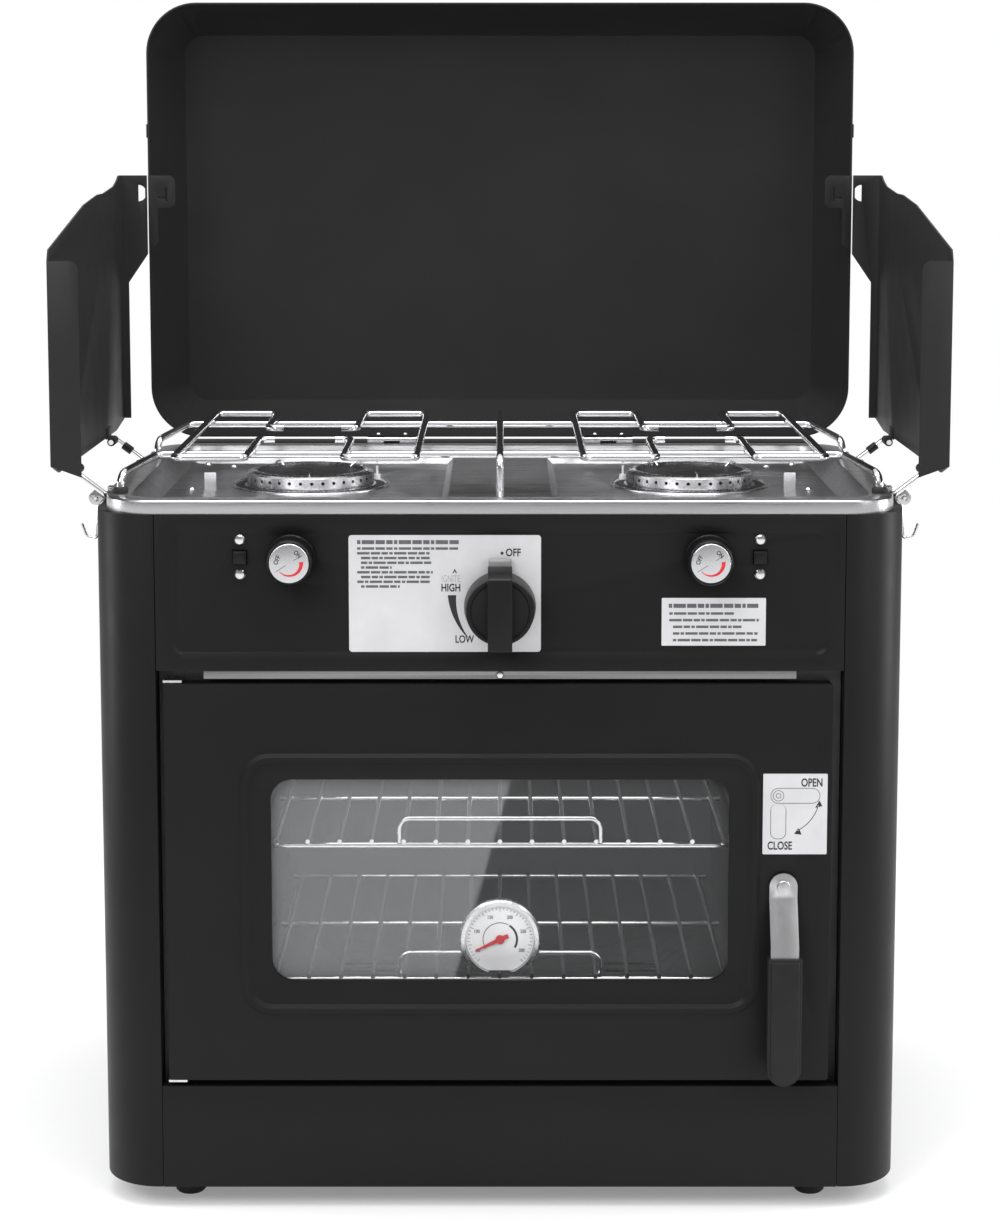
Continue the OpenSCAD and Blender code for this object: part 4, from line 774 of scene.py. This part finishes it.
def studio():
    """Pale floor that fades into a white surround."""
    floor_r, fade_from, fade_to, least_glow = 6.0, 0.3, 1.3, 0.25
    bpy.ops.mesh.primitive_circle_add(vertices=96, radius=floor_r, fill_type="NGON", location=(0.0, 0.0, 0.0))
    floor = bpy.context.view_layer.objects.active
    floor.name = "studio_floor"
    material = bpy.data.materials.new("studio_floor")
    material.use_nodes = True
    tree = material.node_tree
    tree.nodes.clear()
    output = tree.nodes.new("ShaderNodeOutputMaterial")
    mix = tree.nodes.new("ShaderNodeMixShader")
    diffuse = tree.nodes.new("ShaderNodeBsdfDiffuse")
    diffuse.inputs["Color"].default_value = (0.8, 0.8, 0.805, 1.0)
    glow = tree.nodes.new("ShaderNodeEmission")
    glow.inputs["Color"].default_value = (1.0, 1.0, 1.0, 1.0)
    glow.inputs["Strength"].default_value = 1.0
    coordinates = tree.nodes.new("ShaderNodeTexCoord")
    distance = tree.nodes.new("ShaderNodeVectorMath")
    distance.operation = "LENGTH"
    fade = tree.nodes.new("ShaderNodeMapRange")
    fade.interpolation_type = "SMOOTHSTEP"
    fade.inputs["From Min"].default_value = fade_from
    fade.inputs["From Max"].default_value = fade_to
    fade.inputs["To Min"].default_value = least_glow
    fade.inputs["To Max"].default_value = 1.0
    seen = seen_ray(tree)
    factor = tree.nodes.new("ShaderNodeMath")
    factor.operation = "MULTIPLY"
    tree.links.new(coordinates.outputs["Object"], distance.inputs[0])
    tree.links.new(distance.outputs["Value"], fade.inputs["Value"])
    tree.links.new(fade.outputs["Result"], factor.inputs[0])
    tree.links.new(seen, factor.inputs[1])
    tree.links.new(factor.outputs["Value"], mix.inputs["Fac"])
    tree.links.new(diffuse.outputs["BSDF"], mix.inputs[1])
    tree.links.new(glow.outputs["Emission"], mix.inputs[2])
    tree.links.new(mix.outputs["Shader"], output.inputs["Surface"])
    floor.data.materials.append(material)
    floor.select_set(False)


def seen_ray(tree):
    """1 for camera, glossy and transmission rays, else 0."""
    path = tree.nodes.new("ShaderNodeLightPath")
    total = None
    for name in ("Is Camera Ray", "Is Glossy Ray", "Is Transmission Ray"):
        if total is None:
            total = path.outputs[name]
            continue
        most = tree.nodes.new("ShaderNodeMath")
        most.operation = "MAXIMUM"
        tree.links.new(total, most.inputs[0])
        tree.links.new(path.outputs[name], most.inputs[1])
        total = most.outputs["Value"]
    return total


def surround():
    """World that lights softly, more from above than from the sides, and looks white."""
    dome_from, dome_to, side_light, top_light = 0.02, 0.75, 0.22, 0.95
    world = bpy.data.worlds.new("surround")
    world.use_nodes = True
    bpy.context.scene.world = world
    tree = world.node_tree
    background = tree.nodes["Background"]
    background.inputs["Color"].default_value = (1.0, 1.0, 1.0, 1.0)
    coordinates = tree.nodes.new("ShaderNodeTexCoord")
    height = tree.nodes.new("ShaderNodeSeparateXYZ")
    dome = tree.nodes.new("ShaderNodeMapRange")
    dome.interpolation_type = "SMOOTHSTEP"
    dome.inputs["From Min"].default_value = dome_from
    dome.inputs["From Max"].default_value = dome_to
    dome.inputs["To Min"].default_value = side_light
    dome.inputs["To Max"].default_value = top_light
    strength = tree.nodes.new("ShaderNodeMix")
    strength.inputs["B"].default_value = 1.0
    path = tree.nodes.new("ShaderNodeLightPath")
    tree.links.new(coordinates.outputs["Generated"], height.inputs["Vector"])
    tree.links.new(height.outputs["Z"], dome.inputs["Value"])
    tree.links.new(dome.outputs["Result"], strength.inputs["A"])
    tree.links.new(path.outputs["Is Camera Ray"], strength.inputs["Factor"])
    tree.links.new(strength.outputs["Result"], background.inputs["Strength"])


def lamp(name, location, target, width, height, watts):
    """Soft rectangular lamp that points at a target."""
    data = bpy.data.lights.new(name, "AREA")
    data.shape = "RECTANGLE"
    data.size = width
    data.size_y = height
    data.energy = watts
    light = bpy.data.objects.new(name, data)
    bpy.context.collection.objects.link(light)
    light.location = location
    light.rotation_euler = (Vector(target) - Vector(location)).to_track_quat("-Z", "Y").to_euler()


def camera():
    """Camera at the photograph's height and distance, turned down a little and shifted for the rest."""
    data = bpy.data.cameras.new("camera")
    data.lens = LENS_MM
    data.sensor_width = SENSOR_MM
    data.shift_y = -SHIFT_DOWN
    view = bpy.data.objects.new("camera", data)
    bpy.context.collection.objects.link(view)
    view.location = place(0.0, -CAMERA_DISTANCE, CAMERA_HEIGHT)
    view.rotation_euler = (math.radians(90.0 - CAMERA_TILT_DEGREES), 0.0, 0.0)
    bpy.context.scene.camera = view


# Name, place, target, width and height in metres, and power in watts
LAMPS = (
    ("key", (-1.3, -1.9, 2.0), (0.0, 0.0, 0.35), 1.2, 1.2, 28.0),
    ("fill", (1.7, -1.6, 1.3), (0.0, 0.0, 0.3), 0.9, 1.6, 14.0),
    ("top", (0.0, -0.5, 2.4), (0.0, 0.0, 0.5), 1.8, 1.2, 32.0),
    ("left_side", (-2.1, 0.1, 0.9), (0.0, 0.0, 0.4), 0.5, 1.8, 22.0),
    ("right_side", (2.1, 0.1, 0.9), (0.0, 0.0, 0.4), 0.5, 1.8, 34.0),
    ("oven_glow", place(0.0, 60.0, 322.0), place(0.0, 190.0, 180.0), 0.24, 0.03, 0.2),
)

studio()
surround()
for settings in LAMPS:
    lamp(*settings)
camera()

bpy.context.scene.view_settings.view_transform = "Standard"


bpy.ops.object.select_all(action="DESELECT")
